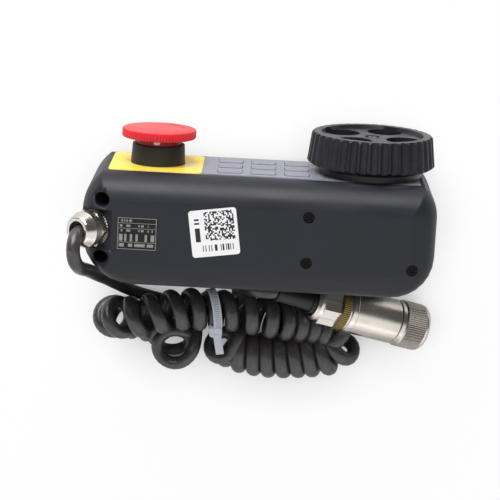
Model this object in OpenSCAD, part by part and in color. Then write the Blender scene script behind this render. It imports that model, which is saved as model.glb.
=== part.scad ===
// Portable pulse generator handwheel: a two-shell hand case with a fluted handwheel,
// an emergency stop, a foil keypad, and a curly cord with a round metal plug.
// X runs along the case from the cord gland to the handwheel, the front panel faces +Y,
// and +Z is the side that carries the screws. Z = 0 is the flat side that the case lies on.

/* [Case] */
// Length of the case from the gland end to the wheel end
case_l = 188; // [184:1:210]
// Thickness of the case from the back to the front panel
case_t = 61; // [60:1:72]
// Width of the case across the front panel
case_w = 84; // [82:1:96]
// Wall of both shells
wall = 3; // [2.5:0.25:3.5]
// Rounding of the long edges
edge_r = 15; // [13:0.5:15]
// Corner radius at the gland end
gland_end_r = 28; // [26:1:30]
// Corner radius at the wheel end
wheel_end_r = 23; // [23:1:26]

/* [Front panel] */
// Width of the flat front plate across the case
plate_w = 52; // [48:1:54]
// Thickness of the front plate
plate_t = 3; // [2.5:0.25:3.5]
// Thickness of the printed foils on the plate
foil_t = 0.4; // [0.2:0.1:0.6]
// Length of the yellow foil round the stop button
stop_foil_l = 49.5; // [44:0.5:52]

/* [Emergency stop] */
// Distance of the stop button from the gland end of the case
stop_from_end = 37.5; // [36:0.5:42]
// Diameter of the mushroom cap
cap_d = 40; // [36:1:42]
// Height of the cap's rim
cap_h = 4.9; // [4.5:0.1:6]
// Diameter of the black collar at the panel
collar_d = 29.4; // [28.6:0.2:32]
// Height of the collar above the foil
collar_h = 10.6; // [9:0.2:13]
// Travel of the cap when it is pressed
stop_travel = 4; // [3:0.5:4.5]

/* [Handwheel] */
// Distance of the handwheel's axis from the wheel end of the case
wheel_from_end = 35.5; // [34:0.5:38]
// Diameter of the handwheel at its lower rim
wheel_d = 69; // [62:1:72]
// Diameter of the handwheel at its upper rim
wheel_top_d = 64.4; // [60:0.2:66]
// Height of the handwheel
wheel_h = 17.4; // [15:0.2:20]
// Number of flutes round the handwheel
flutes = 38; // [30:1:44]
// Diameter of the four finger openings
finger_d = 19; // [15:0.5:20]
// Depth of the dished top of the handwheel
dish_depth = 1.8; // [1:0.1:3]
// Diameter of the fixed disc under the handwheel
base_d = 55; // [50:1:58]
// Diameter of the encoder's shaft
shaft_d = 8; // [6:1:10]

/* [Keypad] */
// Number of keys along the case
key_cols = 3; // [3:1:3]
// Number of keys across the case
key_rows = 3; // [3:1:3]
// Space between two keys along the case
key_space_l = 5; // [4:0.5:8]
// Size of a key across the case
key_w = 11; // [9:0.5:12]

/* [Cord and plug] */
// Diameter of the cord
cord_d = 7.4; // [6:0.2:7.6]
// Outer diameter of the curled stretch
coil_d = 26.5; // [24:0.5:26.5]
// Diameter of the plug's coupling ring
ring_d = 26.5; // [25:0.5:27]
// Length of the plug's coupling ring
ring_l = 17.7; // [15:0.1:20]
// Diameter of the plug's body
plug_d = 25; // [23:0.5:26]

/* [Hidden] */

$fn = 64;
front_y = case_t / 2;
mid_z = case_w / 2;
gap = 0.2;
eps = 0.01;

// ---- case outline and shells -------------------------------------------------
// Each corner is [centre x, centre y, radius, first angle, last angle]. The two front corners are
// cut off by the front panel, so their arcs end in a crease there.
front_wheel_set = 17;
front_gland_set = 21.5;
function corners(d) = [
    [case_l / 2 - wheel_end_r, front_y - front_wheel_set, wheel_end_r - d, 0,
        asin((front_wheel_set - d) / (wheel_end_r - d))],
    [-case_l / 2 + gland_end_r, front_y - front_gland_set, gland_end_r - d,
        180 - asin((front_gland_set - d) / (gland_end_r - d)), 180],
    [-case_l / 2 + gland_end_r, -front_y + gland_end_r, gland_end_r - d, 180, 270],
    [case_l / 2 - wheel_end_r, -front_y + wheel_end_r, wheel_end_r - d, 270, 360]];
function outline(d, steps = 7) = [for (c = corners(d), i = [0:steps])
    let (a = c[3] + (c[4] - c[3]) * i / steps) [c[0] + c[2] * cos(a), c[1] + c[2] * sin(a)]];

// The upper half of the case, drawn in by inset, as a loft through outlines that shrink
// round the edge in a number of steps.
module upper_half(inset, steps, below = 0) {
    r = edge_r - inset;
    top = case_w - inset;
    levels = concat([[mid_z - below, inset]],
        [for (i = [0:steps]) let (a = 84 * i / steps) [top - r + r * sin(a), inset + r * (1 - cos(a))]],
        [[top, inset + r]]);
    rings = [for (l = levels) outline(min(l[1], edge_r - 0.5))];
    n = len(rings[0]);
    last = len(levels) - 1;
    points = [for (i = [0:last], p = rings[i]) [p[0], p[1], levels[i][0]]];
    faces = concat(
        [for (i = [0:last - 1], k = [0:n - 1]) [(i + 1) * n + k, (i + 1) * n + (k + 1) % n, i * n + k]],
        [for (i = [0:last - 1], k = [0:n - 1]) [(i + 1) * n + (k + 1) % n, i * n + (k + 1) % n, i * n + k]],
        [[for (k = [0:n - 1]) k]],
        [[for (k = [n - 1:-1:0]) last * n + k]]);
    polyhedron(points, faces, convexity = 4);
}
module flip_side() { translate([0, 0, case_w]) mirror([0, 0, 1]) children(); }
module ring_of_outline(outer, inner, z0, z1) {
    translate([0, 0, z0]) linear_extrude(z1 - z0) difference() {
        polygon(outline(outer));
        polygon(outline(inner));
    }
}

// Screws: [x from the gland end, y from the front, is deep]
screw_places = [[case_l - 68.2, 17.2, false], [case_l - 68.4, 41.7, false],
    [case_l - 12.4, 42.9, false], [11.2, 13.5, true], [11.2, 44.4, true]];
function screw_xy(s) = [s[0] - case_l / 2, front_y - s[1]];
screw_d = 3;
screw_clear_d = 3.4;
head_d = 5.5;
recess_d = 6.2;
recess_depth = 3.4;
deep_hole_d = 7.7;
deep_hole_depth = 30;
post_d = 11;
insert_d = 4.6;
insert_l = 8;
function seat_z(s) = case_w - (s[2] ? deep_hole_depth : recess_depth);

// Front plate and its opening. The plate's tongue sits in a groove of both shells.
plate_x0 = -case_l / 2 + 12.5;
plate_x1 = case_l / 2 - 9.5;
tongue = 2;
tongue_t = 1.5;
lip_t = 1.5;
front_wall = plate_t + 1.7;
plate_back = front_y - plate_t;
module plate_box(grow, y0, y1) {
    translate([plate_x0 - grow, y0, mid_z - plate_w / 2 - grow])
        cube([plate_x1 - plate_x0 + 2 * grow, y1 - y0, plate_w + 2 * grow]);
}

// Gland seat: a flat cut across the corner between the gland end and the screw side.
gland_tilt = 36;
gland_at = [-case_l / 2 + 7.7, 1, case_w - 6.5];
gland_wall = 4;
facet_w = 21.2;
module at_gland(s = 0) { translate(gland_at) rotate([0, -gland_tilt, 0]) translate([0, 0, s]) children(); }

// Places of the stop button and the handwheel along the case.
stop_x = -case_l / 2 + stop_from_end;
wheel_x = case_l / 2 - wheel_from_end;

// Slots that hold the main board.
board_t = 1.6;
board_y = -front_y + 9;
board_x0 = stop_x + 16.5;
board_l = wheel_x - 8.5 - board_x0;
rib_w = 4;
rib_xs = [board_x0 + 6, board_x0 + board_l - 6];
board_in = 7;

module upper_inner_solids() {
    for (s = screw_places) translate([screw_xy(s)[0], screw_xy(s)[1], mid_z - 3])
        cylinder(d = post_d, h = case_w / 2 + 2);
    for (x = rib_xs) translate([x - rib_w / 2, board_y - 2.4, case_w - 11])
        cube([rib_w, board_t + 4.8, 10]);
}
module half_shell() {
    difference() {
        upper_half(0, 6);
        difference() {
            upper_half(wall, 4, 2);
            upper_inner_solids();
            children();
            translate([-case_l, front_y - front_wall, mid_z - 3]) cube([2 * case_l, front_wall * 2, case_w]);
        }
        plate_box(gap, front_y - front_wall - 2, front_y + 1);
        plate_box(tongue + gap, plate_back - gap, plate_back + tongue_t);
        for (x = rib_xs) translate([x - rib_w, board_y - 0.05, case_w - 14])
            cube([2 * rib_w, board_t + 0.1, 14 - board_in]);
    }
}

module label_side_shell() {
    color([0.17, 0.17, 0.19]) difference() {
        half_shell() at_gland(-gland_wall) translate([-12, -12, 0]) cube([24, 24, gland_wall + 4]);
        ring_of_outline(wall / 2, wall + 0.6, mid_z - 1, mid_z + 2.2);
        ring_of_outline(-1, 0.6, mid_z - 1, mid_z + 0.6);
        at_gland() translate([-16, -facet_w / 2, 0]) cube([32, facet_w, 20]);
        at_gland(-20) cylinder(d = 12.4, h = 30);
        for (s = screw_places) translate(screw_xy(s)) {
            translate([0, 0, mid_z - 1]) cylinder(d = screw_clear_d, h = case_w);
            translate([0, 0, seat_z(s)]) cylinder(d = s[2] ? deep_hole_d : recess_d, h = case_w);
        }
    }
}
module far_side_shell() {
    color([0.15, 0.15, 0.17]) flip_side() {
        difference() {
            half_shell();
            for (s = screw_places) translate([screw_xy(s)[0], screw_xy(s)[1], mid_z - 1]) {
                cylinder(d = screw_clear_d, h = 14);
                cylinder(d = insert_d, h = insert_l + 1);
            }
        }
        difference() {
            ring_of_outline(wall / 2 + 0.15, wall - 0.3, mid_z - 2, mid_z + 0.5);
            plate_box(tongue + gap, front_y - 10, front_y + 1);
        }
    }
}
module case_screws() {
    color([0.1, 0.1, 0.1]) for (s = screw_places) translate(screw_xy(s)) difference() {
        union() {
            translate([0, 0, mid_z - insert_l]) cylinder(d = screw_d, h = seat_z(s) - mid_z + insert_l + 1);
            translate([0, 0, seat_z(s)]) cylinder(d = head_d, h = 2.2);
        }
        for (a = [45, 135]) translate([0, 0, seat_z(s) + 1.9]) rotate([0, 0, a])
            cube([3.2, 0.9, 1.6], center = true);
    }
}
module thread_inserts() {
    color([0.75, 0.6, 0.3]) for (s = screw_places) translate([screw_xy(s)[0], screw_xy(s)[1], mid_z - insert_l])
        difference() {
            cylinder(d = insert_d, h = insert_l);
            translate([0, 0, -1]) cylinder(d = screw_d, h = insert_l + 2);
        }
}

// ---- front panel -------------------------------------------------------------
// Turns a sub-part's own Z into the panel's outward direction, +Y.
module on_panel(x, y = front_y, z = mid_z) { translate([x, y, z]) rotate([-90, 0, 0]) children(); }

barrel_d = 22;
hub_d = 20;
foil_gap_x = plate_x0 + stop_foil_l + 0.5;
keypad_x1 = wheel_x - base_d / 2 + 2;
keypad_margin = 10.5;
key_pitch_x = (keypad_x1 - foil_gap_x - keypad_margin) / key_cols;
key_pitch_z = (plate_w - 7) / key_rows;
key_l = key_pitch_x - key_space_l;
keypad_x = (foil_gap_x + keypad_x1) / 2;
function key_place(i) = [keypad_x + (i % key_cols - (key_cols - 1) / 2) * key_pitch_x,
    mid_z + ((key_rows - 1) / 2 - floor(i / key_cols)) * key_pitch_z];
key_count = key_cols * key_rows;
encoder_screw_r = 19.5;
key_gap = 0.3;

module rounded_plate(l, w, t, r) {
    linear_extrude(t) union() {
        square([l - 2 * r, w], center = true);
        square([l, w - 2 * r], center = true);
        for (x = [-1, 1], y = [-1, 1]) translate([x * (l / 2 - r), y * (w / 2 - r)]) circle(r, $fn = 32);
    }
}
module key_holes(grow, y0, t) {
    for (i = [0:key_count - 1]) on_panel(key_place(i)[0], y0, key_place(i)[1])
        rounded_plate(key_l + 2 * grow, key_w + 2 * grow, t, 2 + grow);
}
module front_plate() {
    color([0.35, 0.35, 0.38]) difference() {
        union() {
            plate_box(0, plate_back, front_y);
            plate_box(tongue, plate_back, plate_back + tongue_t - gap);
        }
        on_panel(stop_x, plate_back - 1) cylinder(d = barrel_d + 0.4, h = plate_t + 2);
        on_panel(wheel_x, plate_back - 1) cylinder(d = hub_d + 0.4, h = plate_t + 2);
        key_holes(key_gap, plate_back - 1, plate_t + 2);
        for (a = [90, 210, 330]) on_panel(wheel_x, plate_back - 1)
            rotate([0, 0, a]) translate([encoder_screw_r, 0, 0]) {
                cylinder(d = 3.4, h = plate_t + 2);
                translate([0, 0, plate_t - 0.7]) cylinder(d1 = 3.4, d2 = 6.4, h = 1.7);
            }
    }
}
module stop_foil() {
    color([0.96, 0.85, 0.15]) difference() {
        on_panel(plate_x0 + stop_foil_l / 2) rounded_plate(stop_foil_l, plate_w - 1, foil_t, 3);
        on_panel(stop_x, front_y - 1) cylinder(d = barrel_d + 1, h = 3);
    }
}
module keypad_foil() {
    color([0.55, 0.55, 0.6]) difference() {
        on_panel(keypad_x) rounded_plate(keypad_x1 - foil_gap_x, plate_w - 1, foil_t, 1);
        on_panel(wheel_x, front_y - 1) cylinder(d = base_d + 0.6, h = 3);
        key_holes(key_gap, front_y - 1, 3);
    }
}
// Keypad sandwich behind the plate: spacer, domes and board.
spacer_t = 0.9;
dome_d = min(key_l, key_w) - 2;
keypad_board_l = 3 * key_pitch_x - 1;
keypad_board_w = plate_w - 5;
key_low_y = plate_back + 0.3;
module keypad_spacer() {
    color([0.9, 0.9, 0.85]) difference() {
        on_panel(keypad_x, plate_back - spacer_t) rounded_plate(keypad_board_l, keypad_board_w, spacer_t, 2);
        key_holes(key_gap, plate_back - 2, 3);
    }
}
module key_domes() {
    color([0.8, 0.8, 0.8]) for (i = [0:key_count - 1])
        on_panel(key_place(i)[0], plate_back - spacer_t, key_place(i)[1])
            rotate_extrude() polygon([[0, 0.3], [0, 0.65], [2, 0.6], [3.5, 0.4], [dome_d / 2, 0],
                [dome_d / 2 - 0.5, 0], [2, 0.35]]);
}
module keypad_board() {
    color([0.1, 0.35, 0.2])
        on_panel(keypad_x, plate_back - spacer_t - 1.6) rounded_plate(keypad_board_l, keypad_board_w, 1.6, 2);
}
module key(i) {
    color([0.62, 0.62, 0.66]) on_panel(key_place(i)[0], key_low_y, key_place(i)[1])
        rounded_plate(key_l, key_w, front_y + foil_t + 0.3 - key_low_y, 2);
}

// ---- emergency stop ----------------------------------------------------------
collar_y0 = front_y + foil_t;
collar_top = collar_y0 + collar_h;
cap_y = collar_top + stop_travel - 0.6;
cap_recess = 1.6;
stop_rod_d = 10;
fit = 0.05;
neck_d = 24;
neck_l = 6.4;
chamber_d = 16;
barrel_l = 17;
rod_end_y = front_y - 19.5;
serrations = 72;
module stop_cap() {
    color([0.85, 0.13, 0.17]) difference() {
        on_panel(stop_x, cap_y) rotate_extrude($fn = 96) polygon(concat(
            [[0, 0], [cap_d / 2 - 0.8, 0]],
            [for (a = [-60:30:60]) [cap_d / 2 - 0.9 + 0.9 * cos(a), cap_h / 2 + (cap_h / 2 - 0.7) * sin(a) * 1.1]],
            [[cap_d / 2 - 1.2, cap_h], [0, cap_h + 0.5]]));
        on_panel(stop_x, cap_y - 1) cylinder(d = collar_d + 1.6, h = 1 + cap_recess);
        on_panel(stop_x, cap_y - 1) cylinder(d = stop_rod_d + 2 * fit, h = 1 + cap_recess + 1.6);
        for (i = [0:serrations - 1]) on_panel(stop_x, cap_y - 1) rotate([0, 0, i * 360 / serrations])
            translate([cap_d / 2 + 0.25, 0, 0]) cylinder(r = 0.55, h = cap_h - 0.2, $fn = 6);
    }
}
module stop_neck() {
    color([0.55, 0.08, 0.1]) on_panel(stop_x, cap_y + cap_recess - neck_l - cap_recess) difference() {
        cylinder(d = neck_d, h = neck_l + cap_recess);
        translate([0, 0, -1]) cylinder(d = stop_rod_d + 2 * fit, h = neck_l + 4);
    }
}
module stop_shaft() {
    color([0.3, 0.3, 0.32]) on_panel(stop_x, rod_end_y) {
        cylinder(d = stop_rod_d, h = cap_y + cap_recess + 1.3 - rod_end_y);
        translate([0, 0, 16]) cylinder(d = chamber_d - 1, h = 1.8);
    }
}
module stop_spring() {
    color([0.7, 0.7, 0.72]) on_panel(stop_x, front_y - barrel_l) rotate_extrude($fn = 32)
        for (i = [0:4]) translate([6.4, 0.9 + 1.75 * i]) square([1.2, 1.8], center = true);
}
module stop_collar() {
    color([0.11, 0.11, 0.12]) difference() {
        union() {
            on_panel(stop_x, collar_y0) cylinder(d1 = collar_d, d2 = collar_d - 1.3, h = collar_h, $fn = 96);
            on_panel(stop_x, front_y - barrel_l) cylinder(d = barrel_d, h = barrel_l + 1);
        }
        on_panel(stop_x, cap_y - neck_l - stop_travel - 0.5) cylinder(d = neck_d + 0.8, h = 30);
        on_panel(stop_x, front_y - barrel_l - 1) cylinder(d = stop_rod_d + 2 * fit, h = 40);
        on_panel(stop_x, front_y - barrel_l - 1) cylinder(d = chamber_d, h = barrel_l - 0.4);
    }
}
module stop_seal() {
    color([0.05, 0.05, 0.05]) on_panel(stop_x, plate_back - 1) difference() {
        cylinder(d = barrel_d + 5, h = 1);
        translate([0, 0, -1]) cylinder(d = barrel_d, h = 3);
    }
}
module stop_lock_nut() {
    color([0.25, 0.25, 0.26]) on_panel(stop_x, plate_back - 6) difference() {
        cylinder(d = barrel_d + 8, h = 5);
        translate([0, 0, -1]) cylinder(d = barrel_d, h = 8);
        for (a = [0:60:300]) rotate([0, 0, a]) translate([barrel_d / 2 + 4, 0, -1]) cylinder(r = 1.6, h = 8);
    }
}
module contact_blocks() {
    block_y = front_y - barrel_l;
    color([0.75, 0.74, 0.7]) on_panel(stop_x, block_y - 16) difference() {
        union() for (s = [-1, 1]) translate([s * 8.2 - 8, -18, 0]) cube([16, 36, 16]);
        translate([0, 0, 16 - 8]) cylinder(d = stop_rod_d + 1, h = 9);
        for (s = [-1, 1], y = [-13, 13]) translate([s * 8.2, y, -1]) cylinder(d = 4, h = 4);
    }
}

// ---- handwheel and encoder ---------------------------------------------------
base_t = 4.5;
wheel_y = front_y + base_t + 0.6;
hub_y0 = plate_back - 12;
hub_top = front_y + 3;
bearing_w = 5;
bearing_d = 16;
rim_t = 4.6;
disc_y = plate_back - 14.5;
shaft_end_y = plate_back - 20;
finger_r = 18.2;
finger_angles = [25, 124, 209, 294];
web_y = wheel_h - dish_depth - 5;

module wheel_blank() {
    rotate_extrude($fn = 96) polygon([[0, 0.8], [hub_d / 2, 0.8], [hub_d / 2, web_y], [wheel_d / 2 - rim_t, web_y],
        [wheel_d / 2 - rim_t, 0], [wheel_d / 2 - 2.2, 0], [wheel_d / 2, 1.6],
        [wheel_top_d / 2 + 0.5, wheel_h - 1], [wheel_top_d / 2 - 0.6, wheel_h],
        [wheel_top_d / 2 - rim_t, wheel_h], [wheel_top_d / 2 - rim_t - 0.6, wheel_h - dish_depth],
        [0, wheel_h - dish_depth]]);
}
// One flute: a groove that leans with the wheel's taper.
lean = atan((wheel_d - wheel_top_d) / 2 / wheel_h);
module flute() {
    translate([wheel_d / 2 + 1.15, 0, 0]) rotate([0, -lean, 0]) translate([0, 0, -4])
        cylinder(r = 2.35, h = wheel_h + 8, $fn = 24);
}
module handwheel() {
    color([0.16, 0.16, 0.17]) on_panel(wheel_x, wheel_y) difference() {
        wheel_blank();
        for (i = [0:flutes - 1]) rotate([0, 0, (i + 0.5) * 360 / flutes]) flute();
        for (a = finger_angles) rotate([0, 0, -a]) translate([finger_r, 0, 1]) {
            cylinder(d = finger_d, h = wheel_h);
        }
        rotate([0, 0, -90]) translate([finger_r + 2, 0, 1]) cylinder(d = 6, h = wheel_h);
        translate([0, 0, -1]) cylinder(d = shaft_d, h = wheel_h);
        translate([0, 0, wheel_h - dish_depth - 1]) cylinder(d = 5, h = 3);
    }
}
module wheel_base_disc() {
    color([0.12, 0.12, 0.13]) on_panel(wheel_x) difference() {
        rotate_extrude() polygon([[0, 0], [base_d / 2, 0], [base_d / 2, base_t - 1], [base_d / 2 - 1, base_t], [0, base_t]]);
        translate([0, 0, -1]) cylinder(d = hub_d, h = base_t + 2);
    }
}
module wheel_screw() {
    color([0.12, 0.12, 0.13]) on_panel(wheel_x, wheel_y + wheel_h - dish_depth - 1) difference() {
        union() {
            cylinder(d = 5, h = 0.8);
            translate([0, 0, -5]) cylinder(d = 2.5, h = 5);
        }
        translate([0, 0, 0.3]) cylinder(d = 2, h = 1, $fn = 6);
    }
}
module drive_shaft() {
    color([0.75, 0.75, 0.77]) on_panel(wheel_x, shaft_end_y) difference() {
        cylinder(d = shaft_d, h = wheel_y + wheel_h - dish_depth - 1 - shaft_end_y);
        translate([0, 0, wheel_y + wheel_h - dish_depth - 6 - shaft_end_y]) cylinder(d = 2.5, h = 8);
    }
}
bearing_ys = [hub_y0, hub_top - bearing_w];
module ring_shape(d_out, d_in, h) {
    difference() {
        cylinder(d = d_out, h = h);
        translate([0, 0, -1]) cylinder(d = d_in, h = h + 2);
    }
}
race_t = 1.85;
module bearing_inner_rings() {
    color([0.7, 0.7, 0.72]) for (y = bearing_ys) on_panel(wheel_x, y)
        ring_shape(shaft_d + 2 * race_t, shaft_d, bearing_w);
}
module bearing_outer_rings() {
    color([0.66, 0.66, 0.68]) for (y = bearing_ys) on_panel(wheel_x, y)
        ring_shape(bearing_d, bearing_d - 2 * race_t, bearing_w);
}
flange_d = 50;
flange_t = 3;
housing_l = 22;
encoder_d = 50;
module encoder_flange() {
    color([0.7, 0.7, 0.72]) difference() {
        union() {
            on_panel(wheel_x, plate_back - flange_t) cylinder(d = flange_d, h = flange_t);
            on_panel(wheel_x, hub_y0) cylinder(d = hub_d, h = hub_top - hub_y0);
        }
        for (y = bearing_ys) on_panel(wheel_x, y) cylinder(d = bearing_d, h = bearing_w + eps);
        on_panel(wheel_x, hub_y0 - 1) cylinder(d = bearing_d - 2, h = 40);
        for (a = [90, 210, 330]) on_panel(wheel_x, plate_back - flange_t - 1)
            rotate([0, 0, a]) translate([encoder_screw_r, 0, 0]) cylinder(d = 2.5, h = flange_t + 2);
    }
}
module encoder_screws() {
    color([0.6, 0.6, 0.6]) for (a = [90, 210, 330]) on_panel(wheel_x, plate_back - flange_t)
        rotate([0, 0, a]) translate([encoder_screw_r, 0, 0]) {
            cylinder(d = 2.5, h = flange_t + plate_t - 0.7);
            translate([0, 0, flange_t + plate_t - 1.8]) cylinder(d1 = 2.5, d2 = 5, h = 1.6);
        }
}
ledge_y = plate_back - 18.5;
module encoder_housing() {
    color([0.35, 0.35, 0.37]) on_panel(wheel_x, plate_back - flange_t - housing_l) difference() {
        cylinder(d = encoder_d, h = housing_l);
        translate([0, 0, 1.8]) cylinder(d = encoder_d - 7, h = housing_l);
        translate([0, 0, ledge_y - plate_back + flange_t + housing_l])
            cylinder(d = encoder_d - 3.6, h = housing_l);
    }
}
module code_disc() {
    color([0.8, 0.85, 0.85, 0.7]) on_panel(wheel_x, disc_y) difference() {
        union() {
            cylinder(d = 40, h = 1.2);
            translate([0, 0, -1.4]) cylinder(d = 13, h = 3.4);
        }
        translate([0, 0, -3]) cylinder(d = shaft_d, h = 8);
    }
}
reticle_r = 15;
module scanning_reticle() {
    color([0.6, 0.7, 0.7]) on_panel(wheel_x, ledge_y + 1.6) translate([-5, reticle_r - 4, 0])
        cube([10, 8, disc_y - ledge_y - 1.6 - 0.5]);
}
module light_unit() {
    color([0.2, 0.2, 0.2]) on_panel(wheel_x, disc_y + 1.7) translate([-5, reticle_r - 4, 0])
        cube([10, 8, plate_back - flange_t - disc_y - 1.7]);
}
module detector_board() {
    color([0.1, 0.35, 0.2]) on_panel(wheel_x, ledge_y) difference() {
        cylinder(d = encoder_d - 3.8, h = 1.6);
        translate([0, 0, -1]) cylinder(d = shaft_d + 4, h = 4);
    }
}

// ---- main board --------------------------------------------------------------
module main_board() {
    color([0.1, 0.35, 0.2]) translate([board_x0, board_y, board_in]) cube([board_l, board_t, case_w - 2 * board_in]);
}
module board_connectors() {
    color([0.9, 0.9, 0.85]) for (x = [board_x0 + 14, wheel_x - 50.5])
        translate([x, board_y + board_t, mid_z - 12]) difference() {
            cube([9, 8, 24]);
            translate([1.5, 2, 1.5]) cube([6, 8, 21]);
        }
}

// ---- cable gland -------------------------------------------------------------
washer_t = 1.2;
hex_h = 4;
dome_s = washer_t + hex_h + 0.1;
dome_h = 9.6;
mouth_d = cord_d + 2.9;
module gland_washer() {
    color([0.8, 0.78, 0.75]) at_gland() linear_extrude(washer_t) difference() {
        polygon([for (i = [0:79]) let (r = i % 2 == 0 ? 10 : 9.3) [r * cos(i * 4.5), r * sin(i * 4.5)]]);
        circle(d = 12.4);
    }
}
module gland_body() {
    color([0.75, 0.73, 0.7]) at_gland() difference() {
        union() {
            translate([0, 0, washer_t]) cylinder(d = 20.8, h = hex_h, $fn = 6);
            translate([0, 0, -gland_wall - 4]) cylinder(d = 12, h = gland_wall + 6);
            translate([0, 0, dome_s - 0.2]) cylinder(d = 15, h = 3.4);
        }
        translate([0, 0, -gland_wall - 6]) cylinder(d = cord_d + 1, h = 30);
    }
}
module gland_dome_nut() {
    color([0.82, 0.8, 0.78]) at_gland(dome_s) difference() {
        rotate_extrude() polygon([[0, 0], [9.6, 0], [9.6, 4.4], [9.2, 5.2], [7.8, 8.6], [6.9, dome_h], [0, dome_h]]);
        translate([0, 0, -1]) cylinder(d = 15.1, h = 4.4);
        translate([0, 0, 3]) cylinder(d = 13.7, h = 3.9);
        translate([0, 0, 3]) cylinder(d = mouth_d, h = 10);
    }
}
module gland_seal() {
    color([0.08, 0.08, 0.08]) at_gland(dome_s + 3.4) difference() {
        cylinder(d = 13.6, h = 3.4);
        translate([0, 0, -1]) cylinder(d = cord_d + 0.1, h = 6);
    }
}
module gland_locknut() {
    color([0.75, 0.73, 0.7]) at_gland(-gland_wall - 3) difference() {
        cylinder(d = 17, h = 3, $fn = 6);
        translate([0, 0, -1]) cylinder(d = 12, h = 5);
    }
}

// ---- cord --------------------------------------------------------------------
// Route of the cord from the gland to the coil, and from the coil to the plug's boot.
case_end_route = [[-93.1, 0.6, 87], [-95, -1, 91], [-95.9, -4.4, 94.6], [-95.9, -8.8, 96],
    [-95.3, -13.2, 94.8], [-94.2, -17, 90.6], [-92.9, -20.4, 83], [-90.4, -25.4, 66],
    [-86.6, -31.3, 49.5], [-81.6, -37.1, 36], [-75.8, -42.9, 24], [-69.1, -48.3, 14],
    [-61.5, -52.2, 7.5], [-53, -55, 4.6], [-44.5, -57.5, 4.2], [-37.5, -60.5, 5.5],
    [-33.4, -64.5, 10.5], [-32.4, -69, 16.5]];
plug_end_route = [[-7.4, -68.5, 19], [-7.4, -63, 11.5], [-8.8, -56.5, 6.6], [-9.8, -50, 6.4],
    [-10, -44.8, 10.5], [-9.2, -41.4, 18], [-7.4, -39.8, 26.5], [-4.6, -39, 34],
    [-1.4, -38.2, 39.8], [2.6, -37.6, 43.4], [6.4, -37.4, 44.9], [9.4, -37.6, 44.8]];
// Centreline of the curls, with how much narrower than coil_d they are there.
curl_route = [[-44.2, -77.6, 29, 0.6], [-44, -77.2, 25, 0], [-44.5, -75.5, 19, 0.3], [-47, -72, 14.5, 1.5],
    [-52.5, -68, 12.8, 2.1], [-59.5, -65.8, 12.7, 2.3], [-66.5, -64.8, 12.8, 2.3], [-73, -64, 14.4, 2.3],
    [-77, -62.6, 18.5, 2.1], [-78.4, -61, 24.5, 1.9], [-76.6, -59.8, 30.5, 1.9], [-72, -58.5, 35, 1.9],
    [-65, -57.5, 37, 1.9], [-54, -55, 36.5, 1.9], [-42.5, -53, 34.5, 1.9], [-31.5, -52.7, 32.2, 1.9],
    [-27.4, -53.3, 31.3, 4.5], [-16.6, -53.9, 28.9, 4.5], [-12.5, -53.2, 28.2, 1.7], [-2.5, -54.5, 27, 1.5], [8.5, -56.5, 25, 1.5],
    [18.5, -59.3, 22, 3.1], [28, -61.5, 18.2, 3.9], [36.5, -63.6, 15, 3.9], [43, -67, 13.8, 2.9],
    [45, -72, 13.4, 1.5], [39.5, -75.8, 13.4, 0.5], [29, -78.6, 13.4, 0], [16, -80.8, 13.4, 0],
    [3, -81.4, 13.4, 0], [-7, -80.2, 13.4, 0.7], [-13.5, -78, 13.4, 2.3], [-16.8, -76, 17, 3.7],
    [-18.2, -75.6, 21.5, 4.4], [-18.4, -76.6, 25, 5.2]];
// How far the curls sag, so that the turns on the table lie flat on it.
curl_sag = 0.5;
left_turn_end = 11;
upper_row_end = 23;

function unit(v) = v / norm(v);
function along(route, i) = unit(route[min(i + 1, len(route) - 1)] - route[max(i - 1, 0)]);
// The sideways direction is carried from ring to ring, so that the tube doesn't twist.
function side_at(route, i) = i == 0
    ? unit(cross(along(route, 0), [0.1, 0.3, 1]))
    : let (s = side_at(route, i - 1), t = along(route, i)) unit(s - (s * t) * t);
module sweep(route, radii, sides) {
    last = len(route) - 1;
    first = [for (i = [0:last]) side_at(route, i)];
    points = [for (i = [0:last], k = [0:sides - 1])
        let (s = first[i], u = cross(along(route, i), s), a = 360 * k / sides,
            p = route[i] + radii[i] * (s * cos(a) + u * sin(a)))
            [p[0], p[1], max(p[2], 0)]];
    faces = concat(
        [for (i = [0:last - 1], k = [0:sides - 1]) let (n = (k + 1) % sides)
            [i * sides + k, (i + 1) * sides + k, (i + 1) * sides + n]],
        [for (i = [0:last - 1], k = [0:sides - 1]) let (n = (k + 1) % sides)
            [i * sides + k, (i + 1) * sides + n, i * sides + n]],
        [[for (k = [0:sides - 1]) k]],
        [[for (k = [sides - 1:-1:0]) last * sides + k]]);
    polyhedron(points, faces, convexity = 6);
}
// Catmull-Rom points between the route's own, n for each stretch.
function smooth(p, n) = concat([for (i = [0:len(p) - 2], k = [0:n - 1]) let (t = k / n,
    a = p[max(i - 1, 0)], b = p[i], c = p[i + 1], d = p[min(i + 2, len(p) - 1)])
    (2 * b + (c - a) * t + (2 * a - 5 * b + 4 * c - d) * t * t + (3 * b - a - 3 * c + d) * t * t * t) / 2],
    [p[len(p) - 1]]);
module cord_tube(route) {
    color([0.13, 0.12, 0.13]) sweep(route, [for (p = route) cord_d / 2], 10);
}
module cord_case_end() {
    inner = gland_at + [sin(gland_tilt), 0, -cos(gland_tilt)] * (gland_wall + 2);
    cord_tube(concat([inner], smooth(case_end_route, 2)));
}
module curls(from, to) {
    color([0.12, 0.11, 0.12]) sweep([for (i = [from:to]) let (c = curl_route[i]) [c[0], c[1], c[2] - curl_sag]],
        [for (i = [from:to]) (coil_d - curl_route[i][3]) / 2], 16);
}
module coil_left_turn() { curls(0, left_turn_end); }
module coil_upper_row() { curls(left_turn_end, upper_row_end); }
module coil_lower_row() { curls(upper_row_end, len(curl_route) - 1); }
module cord_plug_end() {
    cord_tube(concat(smooth(plug_end_route, 2), [boot_end - plug_axis, boot_end - plug_axis * boot_l]));
}

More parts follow.
